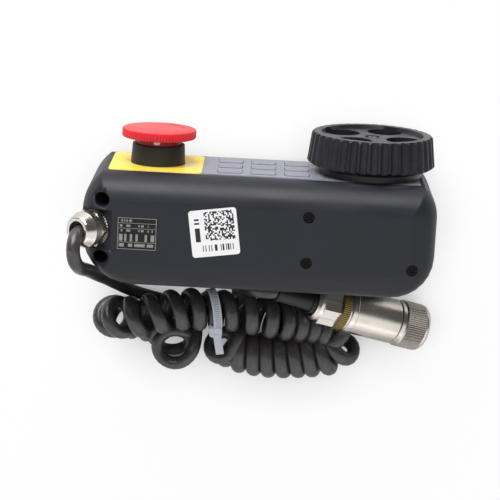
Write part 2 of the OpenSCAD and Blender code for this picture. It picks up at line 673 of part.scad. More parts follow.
// ---- cable tie ---------------------------------------------------------------
tie_w = 4.8;
tie_t = 1;
tie_at = [-22, -53.7, 29.6];
tie_lean = [0, 13, 9];
tie_in_d = coil_d - 3.7 + 0.6;
tie_out_r = tie_in_d / 2 + tie_t;
tie_head = [7.2, 3.6, 6.4];
tie_end_l = 17;
tie_end_at = [-19.8, -64.6, 37.4];
module cable_tie() {
    color([0.92, 0.93, 0.95]) {
        translate(tie_at) rotate(tie_lean) {
            rotate([0, 90, 0]) translate([0, 0, -tie_w / 2]) ring_shape(2 * tie_out_r, tie_in_d, tie_w);
            rotate([-45, 0, 0]) translate([-tie_head[0] / 2, -tie_out_r - tie_head[1] + 0.6, -3]) cube(tie_head);
        }
        translate(tie_end_at) rotate([-57, 0, 24]) translate([-tie_w / 2, -0.6, -tie_end_l])
            cube([tie_w, 1.2, tie_end_l]);
    }
}

// ---- plug --------------------------------------------------------------------
plug_end = [93.8, -61.6, 13.2];
plug_yaw = 163.5;
plug_tilt = 20;
plug_axis = [cos(plug_tilt) * cos(plug_yaw), cos(plug_tilt) * sin(plug_yaw), sin(plug_tilt)];
ring_gap = 0.6;
body_s0 = ring_l + ring_gap;
body_l = 27.4;
adapter_l = 4.5;
brass_l = 4.6;
nut_l = 14;
boot_l = 22.7;
adapter_s = body_s0 + body_l;
brass_s = adapter_s + adapter_l;
nut_s = brass_s + brass_l;
boot_s = nut_s + nut_l;
boot_end = plug_end + plug_axis * (boot_s + boot_l);
sleeve_d = 20;
socket_depth = 9.5;
// Places a child along the plug, with its own Z running from the coupling end to the boot.
module on_plug(s) { translate(plug_end) rotate([0, 90 - plug_tilt, plug_yaw]) translate([0, 0, s]) children(); }
module plug_coupling_ring() {
    color([0.78, 0.76, 0.74]) on_plug(0) difference() {
        rotate_extrude($fn = 96) polygon([[0, 0], [ring_d / 2 - 1.4, 0], [ring_d / 2 - 0.2, 1.6],
            [ring_d / 2 - 0.2, ring_l - 3], [ring_d / 2 - 0.9, ring_l - 2.4], [ring_d / 2 - 0.9, ring_l], [0, ring_l]]);
        translate([0, 0, -1]) cylinder(d = 22.2, h = 1 + socket_depth);
        cylinder(d = sleeve_d + 2 * fit, h = 40);
        for (i = [0:35]) rotate([0, 0, i * 10]) translate([ring_d / 2 + 0.2, 0, 2.4])
            cylinder(r = 0.7, h = ring_l - 6.2, $fn = 16);
    }
}
module plug_body() {
    color([0.74, 0.72, 0.7]) on_plug(0) difference() {
        union() {
            translate([0, 0, body_s0]) cylinder(d = plug_d, h = body_l);
            translate([0, 0, socket_depth + 0.8]) cylinder(d = sleeve_d, h = body_s0 - socket_depth);
        }
        translate([0, 0, socket_depth]) cylinder(d = sleeve_d - 3, h = body_s0 + 4);
        cylinder(d = cord_d + 5, h = body_s0 + body_l + 1);
    }
}
module plug_insert() {
    color([0.2, 0.2, 0.2]) on_plug(socket_depth + 1) difference() {
        cylinder(d = sleeve_d - 3, h = 14);
        for (i = [0:7]) rotate([0, 0, 45 * i]) translate([5.6, 0, -1]) cylinder(d = 1.6, h = 9);
        for (i = [0:3]) rotate([0, 0, 90 * i + 20]) translate([2.3, 0, -1]) cylinder(d = 1.6, h = 9);
    }
}
module plug_adapter() {
    color([0.86, 0.85, 0.83]) on_plug(adapter_s) difference() {
        union() {
            cylinder(d = plug_d + 0.6, h = adapter_l - 1.2);
            cylinder(d = plug_d - 1.4, h = adapter_l);
        }
        translate([0, 0, -1]) cylinder(d = cord_d + 3, h = 10);
    }
}
module plug_brass_ring() {
    color([0.6, 0.5, 0.3]) on_plug(brass_s) difference() {
        cylinder(d = plug_d - 0.4, h = brass_l);
        translate([0, 0, -1]) cylinder(d = cord_d + 3, h = 10);
    }
}
module plug_nut() {
    color([0.8, 0.79, 0.78]) on_plug(nut_s) difference() {
        union() {
            cylinder(d = 23.5, h = nut_l - 3.5, $fn = 6);
            cylinder(d = 20.5, h = nut_l - 1.5);
            translate([0, 0, nut_l - 1.5]) cylinder(d1 = 20.5, d2 = 17, h = 1.5);
        }
        translate([0, 0, -1]) cylinder(d = cord_d + 3, h = 30);
    }
}
module plug_boot() {
    color([0.1, 0.1, 0.1]) on_plug(boot_s) difference() {
        union() {
            cylinder(d = 14, h = 2);
            cylinder(d1 = cord_d + 4.6, d2 = cord_d + 2.2, h = boot_l);
            translate([0, 0, boot_l - 1.2]) cylinder(d = cord_d + 3.2, h = 1.2);
        }
        translate([0, 0, -1]) cylinder(d = cord_d + 0.2, h = 40);
    }
}

label_side_shell();
far_side_shell();
case_screws();
thread_inserts();
front_plate();
stop_foil();
keypad_foil();
keypad_spacer();
keypad_board();
key_domes();
key(0);  // axis_key_1
key(1);  // axis_key_2
key(2);  // axis_key_3
key(3);  // feed_key_1
key(4);  // feed_key_2
key(5);  // feed_key_3
key(6);  // jog_minus_key
key(7);  // rapid_key
key(8);  // jog_plus_key
stop_cap();
stop_neck();
stop_shaft();
stop_spring();
stop_collar();
stop_seal();
stop_lock_nut();
contact_blocks();
handwheel();
wheel_base_disc();
wheel_screw();
drive_shaft();
bearing_inner_rings();
bearing_outer_rings();
encoder_flange();
encoder_housing();
encoder_screws();
code_disc();
scanning_reticle();
light_unit();
detector_board();
main_board();
board_connectors();
gland_body();
gland_dome_nut();
gland_washer();
gland_seal();
gland_locknut();
cord_case_end();
coil_left_turn();
coil_upper_row();
coil_lower_row();
cord_plug_end();
cable_tie();
plug_boot();
plug_nut();
plug_brass_ring();
plug_adapter();
plug_body();
plug_coupling_ring();
plug_insert();
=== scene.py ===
"""Dresses the pulse generator handwheel: case, stop button, handwheel, curly cord and plug."""

from __future__ import annotations

import logging
import math
from dataclasses import dataclass
from enum import Enum
from typing import Sequence

import bmesh
import bpy
from mathutils import Euler, Matrix, Vector

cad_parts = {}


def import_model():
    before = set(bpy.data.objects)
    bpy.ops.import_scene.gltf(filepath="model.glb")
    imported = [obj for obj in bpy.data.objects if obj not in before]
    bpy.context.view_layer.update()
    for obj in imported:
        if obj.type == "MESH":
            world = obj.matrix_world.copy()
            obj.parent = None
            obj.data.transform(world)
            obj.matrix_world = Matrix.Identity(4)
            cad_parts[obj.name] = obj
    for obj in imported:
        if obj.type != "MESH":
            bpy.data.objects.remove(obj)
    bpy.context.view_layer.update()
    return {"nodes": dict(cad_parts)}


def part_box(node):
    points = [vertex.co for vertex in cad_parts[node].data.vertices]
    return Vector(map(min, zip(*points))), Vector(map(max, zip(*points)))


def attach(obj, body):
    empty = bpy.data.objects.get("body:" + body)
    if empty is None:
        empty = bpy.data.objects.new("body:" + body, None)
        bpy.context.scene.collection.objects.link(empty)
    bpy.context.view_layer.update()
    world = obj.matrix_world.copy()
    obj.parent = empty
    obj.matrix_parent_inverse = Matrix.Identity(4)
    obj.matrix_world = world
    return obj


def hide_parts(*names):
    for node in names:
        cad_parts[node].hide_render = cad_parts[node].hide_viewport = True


LOG = logging.getLogger("handwheel")
MM = 0.001
Point = tuple[float, float, float]
Tree = bpy.types.NodeTree
Node = bpy.types.Node
Socket = bpy.types.NodeSocket
BMesh, BMVert, BMEdge = bmesh.types.BMesh, bmesh.types.BMVert, bmesh.types.BMEdge


class Body(Enum):
    """The bodies that pieces of this script ride on."""

    BASE = "base"
    WHEEL = "wheel"
    STOP_HEAD = "stop_head"
    COUPLING = "coupling"


# ---- small helpers


def linear(hex_colour: str) -> tuple[float, float, float, float]:
    """Turns an sRGB hex colour into linear, opaque RGBA.

    Args:
        hex_colour: six hex digits, such as "2b2b2f".

    Returns:
        The linear colour.
    """
    parts = [int(hex_colour[i : i + 2], 16) / 255 for i in (0, 2, 4)]
    r, g, b = (c / 12.92 if c <= 0.04045 else ((c + 0.055) / 1.055) ** 2.4 for c in parts)
    return r, g, b, 1.0


def add_node(tree: Tree, kind: str, inputs: dict | None = None, **settings: object) -> Node:
    """Adds a shader node, sets its properties and fills or links its inputs.

    Args:
        tree: the node tree.
        kind: the node's type name, without ShaderNode before it.
        inputs: input name or index to a value, to the output that feeds it, or to a node, whose first
            output feeds it.
        settings: properties of the node.

    Returns:
        The new node.
    """
    node = tree.nodes.new("ShaderNode" + kind)
    for name, value in settings.items():
        setattr(node, name, value)
    for name, value in (inputs or {}).items():
        socket = node.inputs[name]
        if isinstance(value, Node):
            value = value.outputs[0]
        if isinstance(value, Socket):
            tree.links.new(value, socket)
        else:
            socket.default_value = value
    return node


def empty_tree(owner: bpy.types.Material | bpy.types.World) -> Tree:
    """Gives a material or a world an empty node tree.

    Args:
        owner: the material or world.

    Returns:
        The tree.
    """
    owner.use_nodes = True
    owner.node_tree.nodes.clear()
    return owner.node_tree


def link(thing: bpy.types.Object) -> None:
    """Puts an object in the scene."""
    bpy.context.scene.collection.objects.link(thing)


def ramp_stops(node: Node, stops: Sequence[tuple[float, tuple]]) -> None:
    """Sets a colour ramp's stops.

    Args:
        node: the ramp.
        stops: position and linear colour of each stop.
    """
    elements = node.color_ramp.elements
    while len(elements) > 1:
        elements.remove(elements[-1])
    elements[0].position, elements[0].color = stops[0]
    for place, colour in stops[1:]:
        elements.new(place).color = colour


def mm(point: Sequence[float]) -> Vector:
    """Turns millimetres into a vector in metres."""
    return Vector(point) * MM


def catmull(points: Sequence[Vector], count: int) -> list[Vector]:
    """Draws a smooth line through points.

    Args:
        points: the points it goes through.
        count: pieces for each stretch between two points.

    Returns:
        The points of the line.
    """
    line: list[Vector] = []
    last = len(points) - 1
    for i in range(last):
        a, b, c, d = points[max(i - 1, 0)], points[i], points[i + 1], points[min(i + 2, last)]
        for k in range(count):
            t = k / count
            square, cube = 2 * a - 5 * b + 4 * c - d, 3 * b - a - 3 * c + d
            line.append(0.5 * (2 * b + (c - a) * t + square * t**2 + cube * t**3))
    line.append(points[last].copy())
    return line


def resample(line: Sequence[Vector], step: float) -> list[Vector]:
    """Spaces points evenly along a line.

    Args:
        line: the line's points.
        step: the wanted distance between points.

    Returns:
        The evenly spaced points, both ends included.
    """
    lengths = [0.0]
    for a, b in zip(line, line[1:]):
        lengths.append(lengths[-1] + (b - a).length)
    count = max(2, round(lengths[-1] / step))
    result, at = [], 0
    for i in range(count + 1):
        target = lengths[-1] * i / count
        while at < len(line) - 2 and lengths[at + 1] < target:
            at += 1
        span = lengths[at + 1] - lengths[at] or 1.0
        result.append(line[at].lerp(line[at + 1], (target - lengths[at]) / span))
    return result


# ---- finishes


@dataclass(frozen=True)
class Finish:
    """A surface with a fine grain, soft patches of tone and an optional scratch layer.

    Sizes of patterns are in millimetres.
    """

    name: str
    colour: str
    roughness: float = 0.5
    metallic: float = 0.0
    grain_mm: float = 0.6
    grain_depth: float = 0.1
    patch_mm: float = 25.0
    patch: float = 0.12
    rough_patch: float = 0.08
    coat: float = 0.0
    worn: str = ""
    worn_mm: float = 6.0
    worn_from: float = 0.62
    specular: float = 0.5

    def tint(self, tree: Tree, place: Socket, colour: Socket) -> Socket:
        """Keeps the bare surface's colour; a printed finish changes it."""
        return colour

    def relief(self, tree: Tree, place: Socket, bump: Socket) -> Socket:
        """Keeps the grain's normal; a knurled finish changes it."""
        return bump

    @staticmethod
    def own_place(
        tree: Tree, place: Socket, origin: Point, degrees: Point
    ) -> tuple[Node, Sequence[Socket]]:
        """Measures a surface along its own axes, in millimetres.

        Args:
            tree: the node tree.
            place: object coordinates.
            origin: where the axes meet, in millimetres.
            degrees: how they are turned.

        Returns:
            A node that gives the place as one vector, and the outputs that give its three numbers.
        """
        turn = tuple(math.radians(a) for a in degrees)
        inputs = {"Vector": place, "Location": mm(origin), "Rotation": turn, "Scale": (MM, MM, MM)}
        own = add_node(tree, "Mapping", inputs, vector_type="TEXTURE")
        return own, add_node(tree, "SeparateXYZ", {0: own}).outputs

    def make(self) -> bpy.types.Material:
        """Builds the material, or returns the one that is there.

        Returns:
            The material.
        """
        known = bpy.data.materials.get(self.name)
        if known:
            return known
        material = bpy.data.materials.new(self.name)
        tree = empty_tree(material)
        place = add_node(tree, "TexCoord").outputs["Object"]
        patches = add_node(
            tree,
            "TexNoise",
            {"Vector": place, "Scale": 1 / (self.patch_mm * MM), "Detail": 4.0, "Roughness": 0.6},
        )
        base = linear(self.colour)
        dark = tuple(c * (1 - self.patch) for c in base[:3]) + (1.0,)
        light = tuple(min(1.0, c * (1 + self.patch)) for c in base[:3]) + (1.0,)
        tone = add_node(tree, "ValToRGB", {"Fac": patches.outputs["Fac"]})
        ramp_stops(tone, [(0.32, dark), (0.68, light)])
        colour = tone.outputs["Color"]
        if self.worn:
            wear = add_node(
                tree,
                "TexNoise",
                {"Vector": place, "Scale": 1 / (self.worn_mm * MM), "Detail": 8.0, "Roughness": 0.7},
            )
            mask = add_node(tree, "ValToRGB", {"Fac": wear.outputs["Fac"]})
            ramp_stops(mask, [(self.worn_from, (0, 0, 0, 1)), (self.worn_from + 0.12, (1, 1, 1, 1))])
            mixed = add_node(
                tree,
                "Mix",
                {0: mask.outputs["Color"], 6: colour, 7: linear(self.worn)},
                data_type="RGBA",
            )
            colour = mixed.outputs[2]
        colour = self.tint(tree, place, colour)
        rough = add_node(
            tree,
            "MapRange",
            {
                "Value": patches.outputs["Fac"],
                "From Min": 0.3,
                "From Max": 0.7,
                "To Min": max(0.02, self.roughness - self.rough_patch),
                "To Max": min(1.0, self.roughness + self.rough_patch),
            },
        )
        grain = add_node(
            tree,
            "TexNoise",
            {"Vector": place, "Scale": 1 / (self.grain_mm * MM), "Detail": 2.0},
        )
        bump = add_node(
            tree,
            "Bump",
            {"Height": grain, "Strength": self.grain_depth, "Distance": 0.1 * MM},
        )
        shader = add_node(
            tree,
            "BsdfPrincipled",
            {
                "Base Color": colour,
                "Roughness": rough,
                "Metallic": self.metallic,
                "Normal": self.relief(tree, place, bump.outputs["Normal"]),
                "Specular IOR Level": self.specular,
                "Coat Weight": self.coat,
                "Coat Roughness": 0.2,
            },
        )
        add_node(tree, "OutputMaterial", {"Surface": shader})
        return material


# A cell this long, in millimetres, is longer than any mark, so it isn't broken that way.
WHOLE_CELL = 50.0


@dataclass(frozen=True)
class Mark:
    """A printed patch, solid or broken into cells that are inked at random. Sizes are in millimetres."""

    at: tuple[float, float]
    size: tuple[float, float]
    cell: tuple[float, float] = (0.0, 0.0)
    inked: float = 1.0


@dataclass(frozen=True)
class Printed(Finish):
    """A flat label with plain printed patches."""

    ink: str = "16161a"
    centre: Point = (0.0, 0.0, 0.0)
    turned: float = 0.0
    marks: tuple[Mark, ...] = ()

    def tint(self, tree: Tree, place: Socket, colour: Socket) -> Socket:
        """Prints the patches.

        Args:
            tree: the node tree.
            place: object coordinates.
            colour: the bare label's colour.

        Returns:
            The colour with the ink on it.
        """
        sheet, across = self.own_place(tree, place, self.centre, (0, 0, self.turned))
        ink: Node | float = 0.0
        for mark in self.marks:
            near: dict[int, Node] = {}
            for i in (0, 1):
                reach = {0: across[i], 1: mark.at[i], 2: mark.size[i] / 2}
                near[i] = add_node(tree, "Math", reach, operation="COMPARE")
            patch = add_node(tree, "Math", near, operation="MULTIPLY")
            if mark.inked < 1:
                grid = {0: sheet, 1: (*mark.cell, WHOLE_CELL)}
                cells = add_node(tree, "VectorMath", grid, operation="SNAP")
                chance = add_node(tree, "TexWhiteNoise", {"Vector": cells})
                below = {0: chance.outputs["Value"], 1: mark.inked}
                hit = add_node(tree, "Math", below, operation="LESS_THAN")
                patch = add_node(tree, "Math", {0: patch, 1: hit}, operation="MULTIPLY")
            ink = add_node(tree, "Math", {0: ink, 1: patch}, operation="MAXIMUM")
        layers = {0: ink, 6: colour, 7: linear(self.ink)}
        return add_node(tree, "Mix", layers, data_type="RGBA").outputs[2]


@dataclass(frozen=True)
class Knurled(Finish):
    """A turned surface with ridges rolled into it, straight or at a slant."""

    origin: Point = (0.0, 0.0, 0.0)
    turned: Point = (0.0, 0.0, 0.0)
    ridges: int = 74
    slant: float = 0.0
    ridge_depth: float = 0.25
    band: tuple[float, float] = (0.0, 99.0)
    valley: str = "4a443c"

    def waves(self, tree: Tree, place: Socket) -> Node:
        """Draws the ridges round the part's own axis.

        Args:
            tree: the node tree.
            place: object coordinates.

        Returns:
            The node that gives the height of the ridges, from 0 to 1.
        """
        _, (x, y, z) = self.own_place(tree, place, self.origin, self.turned)
        angle = add_node(tree, "Math", {0: y, 1: x}, operation="ARCTAN2")
        round_it = add_node(tree, "Math", {0: angle, 1: float(self.ridges)}, operation="MULTIPLY")
        phase = add_node(tree, "Math", {0: z, 1: self.slant, 2: round_it}, operation="MULTIPLY_ADD")
        wave = add_node(tree, "Math", {0: phase}, operation="SINE")
        raised = add_node(tree, "Math", {0: wave, 1: 0.5, 2: 0.5}, operation="MULTIPLY_ADD")
        middle, half = sum(self.band) / 2, (self.band[1] - self.band[0]) / 2
        inside = add_node(tree, "Math", {0: z, 1: middle, 2: half}, operation="COMPARE")
        flat = add_node(tree, "Math", {0: 1.0, 1: inside}, operation="SUBTRACT")
        return add_node(tree, "Math", {0: raised, 1: flat}, operation="MAXIMUM")

    def tint(self, tree: Tree, place: Socket, colour: Socket) -> Socket:
        """Darkens the valleys: dirt and tarnish on the metal parts, painted shade in the tie's ridges."""
        layers = {0: self.waves(tree, place), 6: linear(self.valley), 7: colour}
        return add_node(tree, "Mix", layers, data_type="RGBA").outputs[2]

    def relief(self, tree: Tree, place: Socket, bump: Socket) -> Socket:
        """Raises the ridges over the grain's normal."""
        inputs = {"Height": self.waves(tree, place), "Distance": self.ridge_depth * MM, "Normal": bump}
        return add_node(tree, "Bump", {"Strength": 1.0, **inputs}).outputs["Normal"]


# Places and turns, in millimetres and degrees, that a finish and a piece share.
PLUG_END: Point = (93.8, -61.6, 13.2)
PLUG_TURN: Point = (0.0, 70.0, 163.5)
TIE_AT: Point = (-23.0, -53.7, 29.6)
TIE_LEAN: Point = (0.0, 103.0, 8.0)
GLAND_AT: Point = (-86.3, 1.0, 77.5)
GLAND_TILT = 36.0
PANEL_TURN: Point = (-90.0, 0.0, 0.0)

# Glass-filled ABS, spark-eroded mould: a fine matt grain with a slight sheen.
CASE_ABS = Finish(
    "spark_grained_abs", "22232a", 0.44, grain_mm=0.55, grain_depth=0.35, patch_mm=45, patch=0.1,
    specular=0.35, worn="34343a", worn_mm=9.0, worn_from=0.68,
)
# Black polyester film with grey print: smoother than the case, dull print.
TYPE_LABEL = Printed(
    "black_polyester_label", "17171a", 0.38, grain_depth=0.05, specular=0.3, ink="8e8e88",
    centre=(-63.9, -0.1, 84.0),
    marks=(
        Mark((0, 8.3), (20.2, 0.3)), Mark((0, -8.3), (20.2, 0.3)),
        Mark((-10, 0), (0.3, 16.8)), Mark((10, 0), (0.3, 16.8)),
        Mark((0, 5.6), (20, 0.25)), Mark((0, 2.8), (20, 0.25)), Mark((0, -4.6), (20, 0.25)),
        Mark((-5.5, 6.9), (7, 1.2), (0.7, 5), 0.6), Mark((-1.5, 4.2), (15, 1.1), (0.7, 5), 0.5),
        Mark((0, 1.6), (17, 1.1), (0.7, 5), 0.55), Mark((0, -2.2), (13, 3.8), (0.6, WHOLE_CELL), 0.5),
        Mark((-8.4, -2.2), (1.9, 3.6)), Mark((8.3, -2.2), (1.9, 3.6)),
        Mark((2.4, -6.2), (13.6, 1.6), (1.1, WHOLE_CELL), 0.62), Mark((-7.9, -6.2), (2.6, 1.8)),
    ),
)
# White paper label: matt, with random squares and bars that hold no data.
STICKER = Printed(
    "white_paper_label", "efeff0", 0.5, grain_mm=0.3, grain_depth=0.06, patch=0.02, ink="1c1c20",
    centre=(-23.35, 2.8, 84.0), turned=8.4,
    marks=(
        Mark((3.1, 3.6), (15.6, 15.6), (0.78, 0.78), 0.5),
        Mark((1.2, -8.1), (17.5, 3.4), (0.45, WHOLE_CELL), 0.5),
        Mark((-8.7, 2.6), (2.6, 14.0), (WHOLE_CELL, 1.0), 0.45),
    ),
)
# Polyester foil, screen printed on its back: bright, slightly glossy.
FOIL_YELLOW = Finish("yellow_polyester_foil", "f9dc56", 0.32, grain_depth=0.05, patch=0.04, specular=0.4)
# Light grey foil with a fine texture; the key tops are the same foil.
FOIL_GREY = Finish("grey_polyester_foil", "868692", 0.42, grain_mm=0.4, grain_depth=0.12, patch=0.05)
# Painted aluminium sheet, fine orange peel.
PLATE_GREY = Finish("painted_aluminium_plate", "84848f", 0.42, grain_mm=1.0, grain_depth=0.15, patch=0.05)
# Red moulded nylon: glossy, scuffed a little lighter on top.
CAP_RED = Finish(
    "moulded_red_nylon", "d6252f", 0.36, grain_depth=0.06, patch=0.06, worn="e0575c", worn_mm=5.0,
    worn_from=0.64,
)
# The same nylon where the arrow stands up, darkened with painted shade so that it shows against the cap.
ARROW_RED_PAINTED_SHADE = Finish("raised_nylon_painted_shade", "b8161f", 0.3, grain_depth=0.05)
# Opaque white filler, slightly glossy.
MARK_WHITE = Finish("white_enamel_fill", "f4f4f2", 0.3, grain_depth=0.05, patch=0.02)
# Dark red nylon of the neck: duller than the cap, since no hand polishes it.
NECK_RED = Finish("moulded_dark_red_nylon", "8e141c", 0.4, grain_depth=0.05)
# Black moulded nylon with a fine matt grain.
COLLAR_BLACK = Finish("moulded_black_nylon", "232321", 0.5, grain_mm=0.5, grain_depth=0.2, specular=0.35)
# Black glass-filled nylon, handled often: ridges are polished and a little lighter.
WHEEL_PLASTIC = Finish(
    "moulded_glass_filled_nylon", "212127", 0.34, grain_mm=0.6, grain_depth=0.3, patch_mm=12, patch=0.2,
    specular=0.4, worn="3a3a40", worn_mm=4.0, worn_from=0.62,
)
# Blackened steel: nearly black with a metallic glint.
BLACK_OXIDE = Finish("black_oxide_steel", "131315", 0.22, metallic=0.8, grain_depth=0.1)
# Moulded rubber: soft black with a faint sheen.
RUBBER_BLACK = Finish("moulded_black_rubber", "1b1b1e", 0.42, grain_mm=0.8, grain_depth=0.2, specular=0.4)
# Polyurethane jacket: satin, with light scuffs and dust along it.
CORD_PUR = Finish(
    "polyurethane_cord_jacket", "373435", 0.38, grain_mm=1.6, grain_depth=0.5, patch_mm=7, patch=0.3,
    rough_patch=0.1, worn="524e4f", worn_mm=5.0, worn_from=0.58, coat=0.5,
)
# Translucent polyamide: milky, slightly glossy, ridged for the catch, with painted shade in the ridges'
# valleys.
TIE_NYLON = Knurled(
    "natural_polyamide_tie", "e6eaf2", 0.36, grain_depth=0.05, patch=0.03, origin=TIE_AT,
    turned=TIE_LEAN, ridges=64, ridge_depth=0.2, valley="b4bac6", band=(-1.5, 1.5),
)
# The same polyamide where it has no ridges: plain and milky.
TIE_PLAIN = Finish("natural_polyamide", "e3e8f0", 0.36, grain_depth=0.05, patch=0.03)
# Nickel-plated brass, scratched: bright with warm dull spots.
NICKEL = Finish(
    "nickel_plated_brass", "e0dad2", 0.2, metallic=1.0, grain_depth=0.08, patch=0.08, worn="9c9184",
    worn_mm=3.0, worn_from=0.66,
)
# The same plate over a turned surface: satin.
NICKEL_SATIN = Finish(
    "satin_nickel_plate", "dcd5cc", 0.24, metallic=1.0, grain_depth=0.1, patch=0.1, worn="a39a8e",
    worn_mm=3.0, worn_from=0.62,
)
# The same plate over a rolled, slanting knurl, with grime in its valleys.
NICKEL_KNURLED = Knurled(
    "knurled_nickel_plate", "dcd5cc", 0.28, metallic=1.0, grain_depth=0.1, patch=0.08, origin=PLUG_END,
    turned=PLUG_TURN, ridges=72, slant=2.3, ridge_depth=0.3, band=(2.9, 14.5), valley="6b6258",
)
# Bare brass gone brown in its knurl.
BRASS_DULL = Knurled(
    "tarnished_brass", "a8925c", 0.34, metallic=1.0, grain_depth=0.2, patch=0.2, worn="4a3c26",
    worn_mm=2.0, worn_from=0.56, origin=PLUG_END, turned=PLUG_TURN, ridges=70, ridge_depth=0.2,
    valley="4e4024", band=(0, 99),
)
# Turned brass, kept inside: plain and warm.
BRASS_INSERT = Finish("turned_brass", "a8925c", 0.34, metallic=1.0)
# Nickel-plated steel with milled teeth: dirt darkens the gaps.
GLAND_KNURL = Knurled(
    "milled_nickel_washer", "d8d2c8", 0.26, metallic=1.0, origin=GLAND_AT, turned=(0, -GLAND_TILT, 0),
    ridges=40, ridge_depth=0.25, valley="6a5f50", band=(-9, 9),
)
# Ground steel of the inner works: bright and even.
STEEL = Finish("ground_steel", "b8b8ba", 0.3, metallic=1.0)
# Circuit board under green lacquer: smooth, with a soft sheen.
BOARD = Finish("green_solder_mask", "1f5b3c", 0.35)
# Off-white moulded plastic of the inner works: satin.
PLASTIC_WHITE = Finish("moulded_white_plastic", "d8d6cf", 0.45)

NODE_FINISH: dict[str, Finish] = {
    "label_side_shell": CASE_ABS, "far_side_shell": CASE_ABS, "case_screws": BLACK_OXIDE,
    "thread_inserts": BRASS_INSERT, "front_plate": PLATE_GREY, "stop_foil": FOIL_YELLOW,
    "keypad_foil": FOIL_GREY, "keypad_spacer": PLASTIC_WHITE, "keypad_board": BOARD,
    "key_domes": STEEL, "stop_cap": CAP_RED, "stop_neck": NECK_RED, "stop_shaft": COLLAR_BLACK,
    "stop_spring": STEEL, "stop_collar": COLLAR_BLACK, "stop_seal": RUBBER_BLACK,
    "stop_lock_nut": COLLAR_BLACK, "contact_blocks": PLASTIC_WHITE, "handwheel": WHEEL_PLASTIC,
    "wheel_base_disc": WHEEL_PLASTIC, "wheel_screw": BLACK_OXIDE, "drive_shaft": STEEL,
    "bearing_inner_rings": STEEL, "bearing_outer_rings": STEEL, "encoder_flange": STEEL,
    "encoder_housing": STEEL, "encoder_screws": STEEL, "code_disc": STEEL,
    "scanning_reticle": STEEL, "light_unit": COLLAR_BLACK, "detector_board": BOARD,
    "main_board": BOARD, "board_connectors": PLASTIC_WHITE, "gland_body": NICKEL,
    "gland_dome_nut": NICKEL, "gland_washer": GLAND_KNURL, "gland_seal": RUBBER_BLACK,
    "gland_locknut": NICKEL, "cable_tie": TIE_PLAIN, "plug_boot": RUBBER_BLACK,
    "plug_nut": NICKEL, "plug_brass_ring": BRASS_DULL, "plug_adapter": NICKEL,
    "plug_body": NICKEL_SATIN, "plug_coupling_ring": NICKEL_KNURLED, "plug_insert": COLLAR_BLACK,
}

# Nodes that are shaded smoothly: the body each rides on, and how far its edges are broken.
SMOOTHED: dict[str, tuple[Body, float]] = {
    "label_side_shell": (Body.BASE, 0.0), "far_side_shell": (Body.BASE, 0.0),
    "front_plate": (Body.BASE, 0.0), "handwheel": (Body.WHEEL, 0.25),
    "wheel_base_disc": (Body.BASE, 0.2), "stop_collar": (Body.BASE, 0.25),
    "stop_neck": (Body.STOP_HEAD, 0.2), "gland_body": (Body.BASE, 0.25),
    "gland_dome_nut": (Body.BASE, 0.25), "gland_washer": (Body.BASE, 0.15),
    "plug_boot": (Body.BASE, 0.2), "plug_nut": (Body.BASE, 0.25), "plug_brass_ring": (Body.BASE, 0.2),
    "plug_adapter": (Body.BASE, 0.25), "plug_body": (Body.BASE, 0.25), "case_screws": (Body.BASE, 0.15),
}


# ---- studio


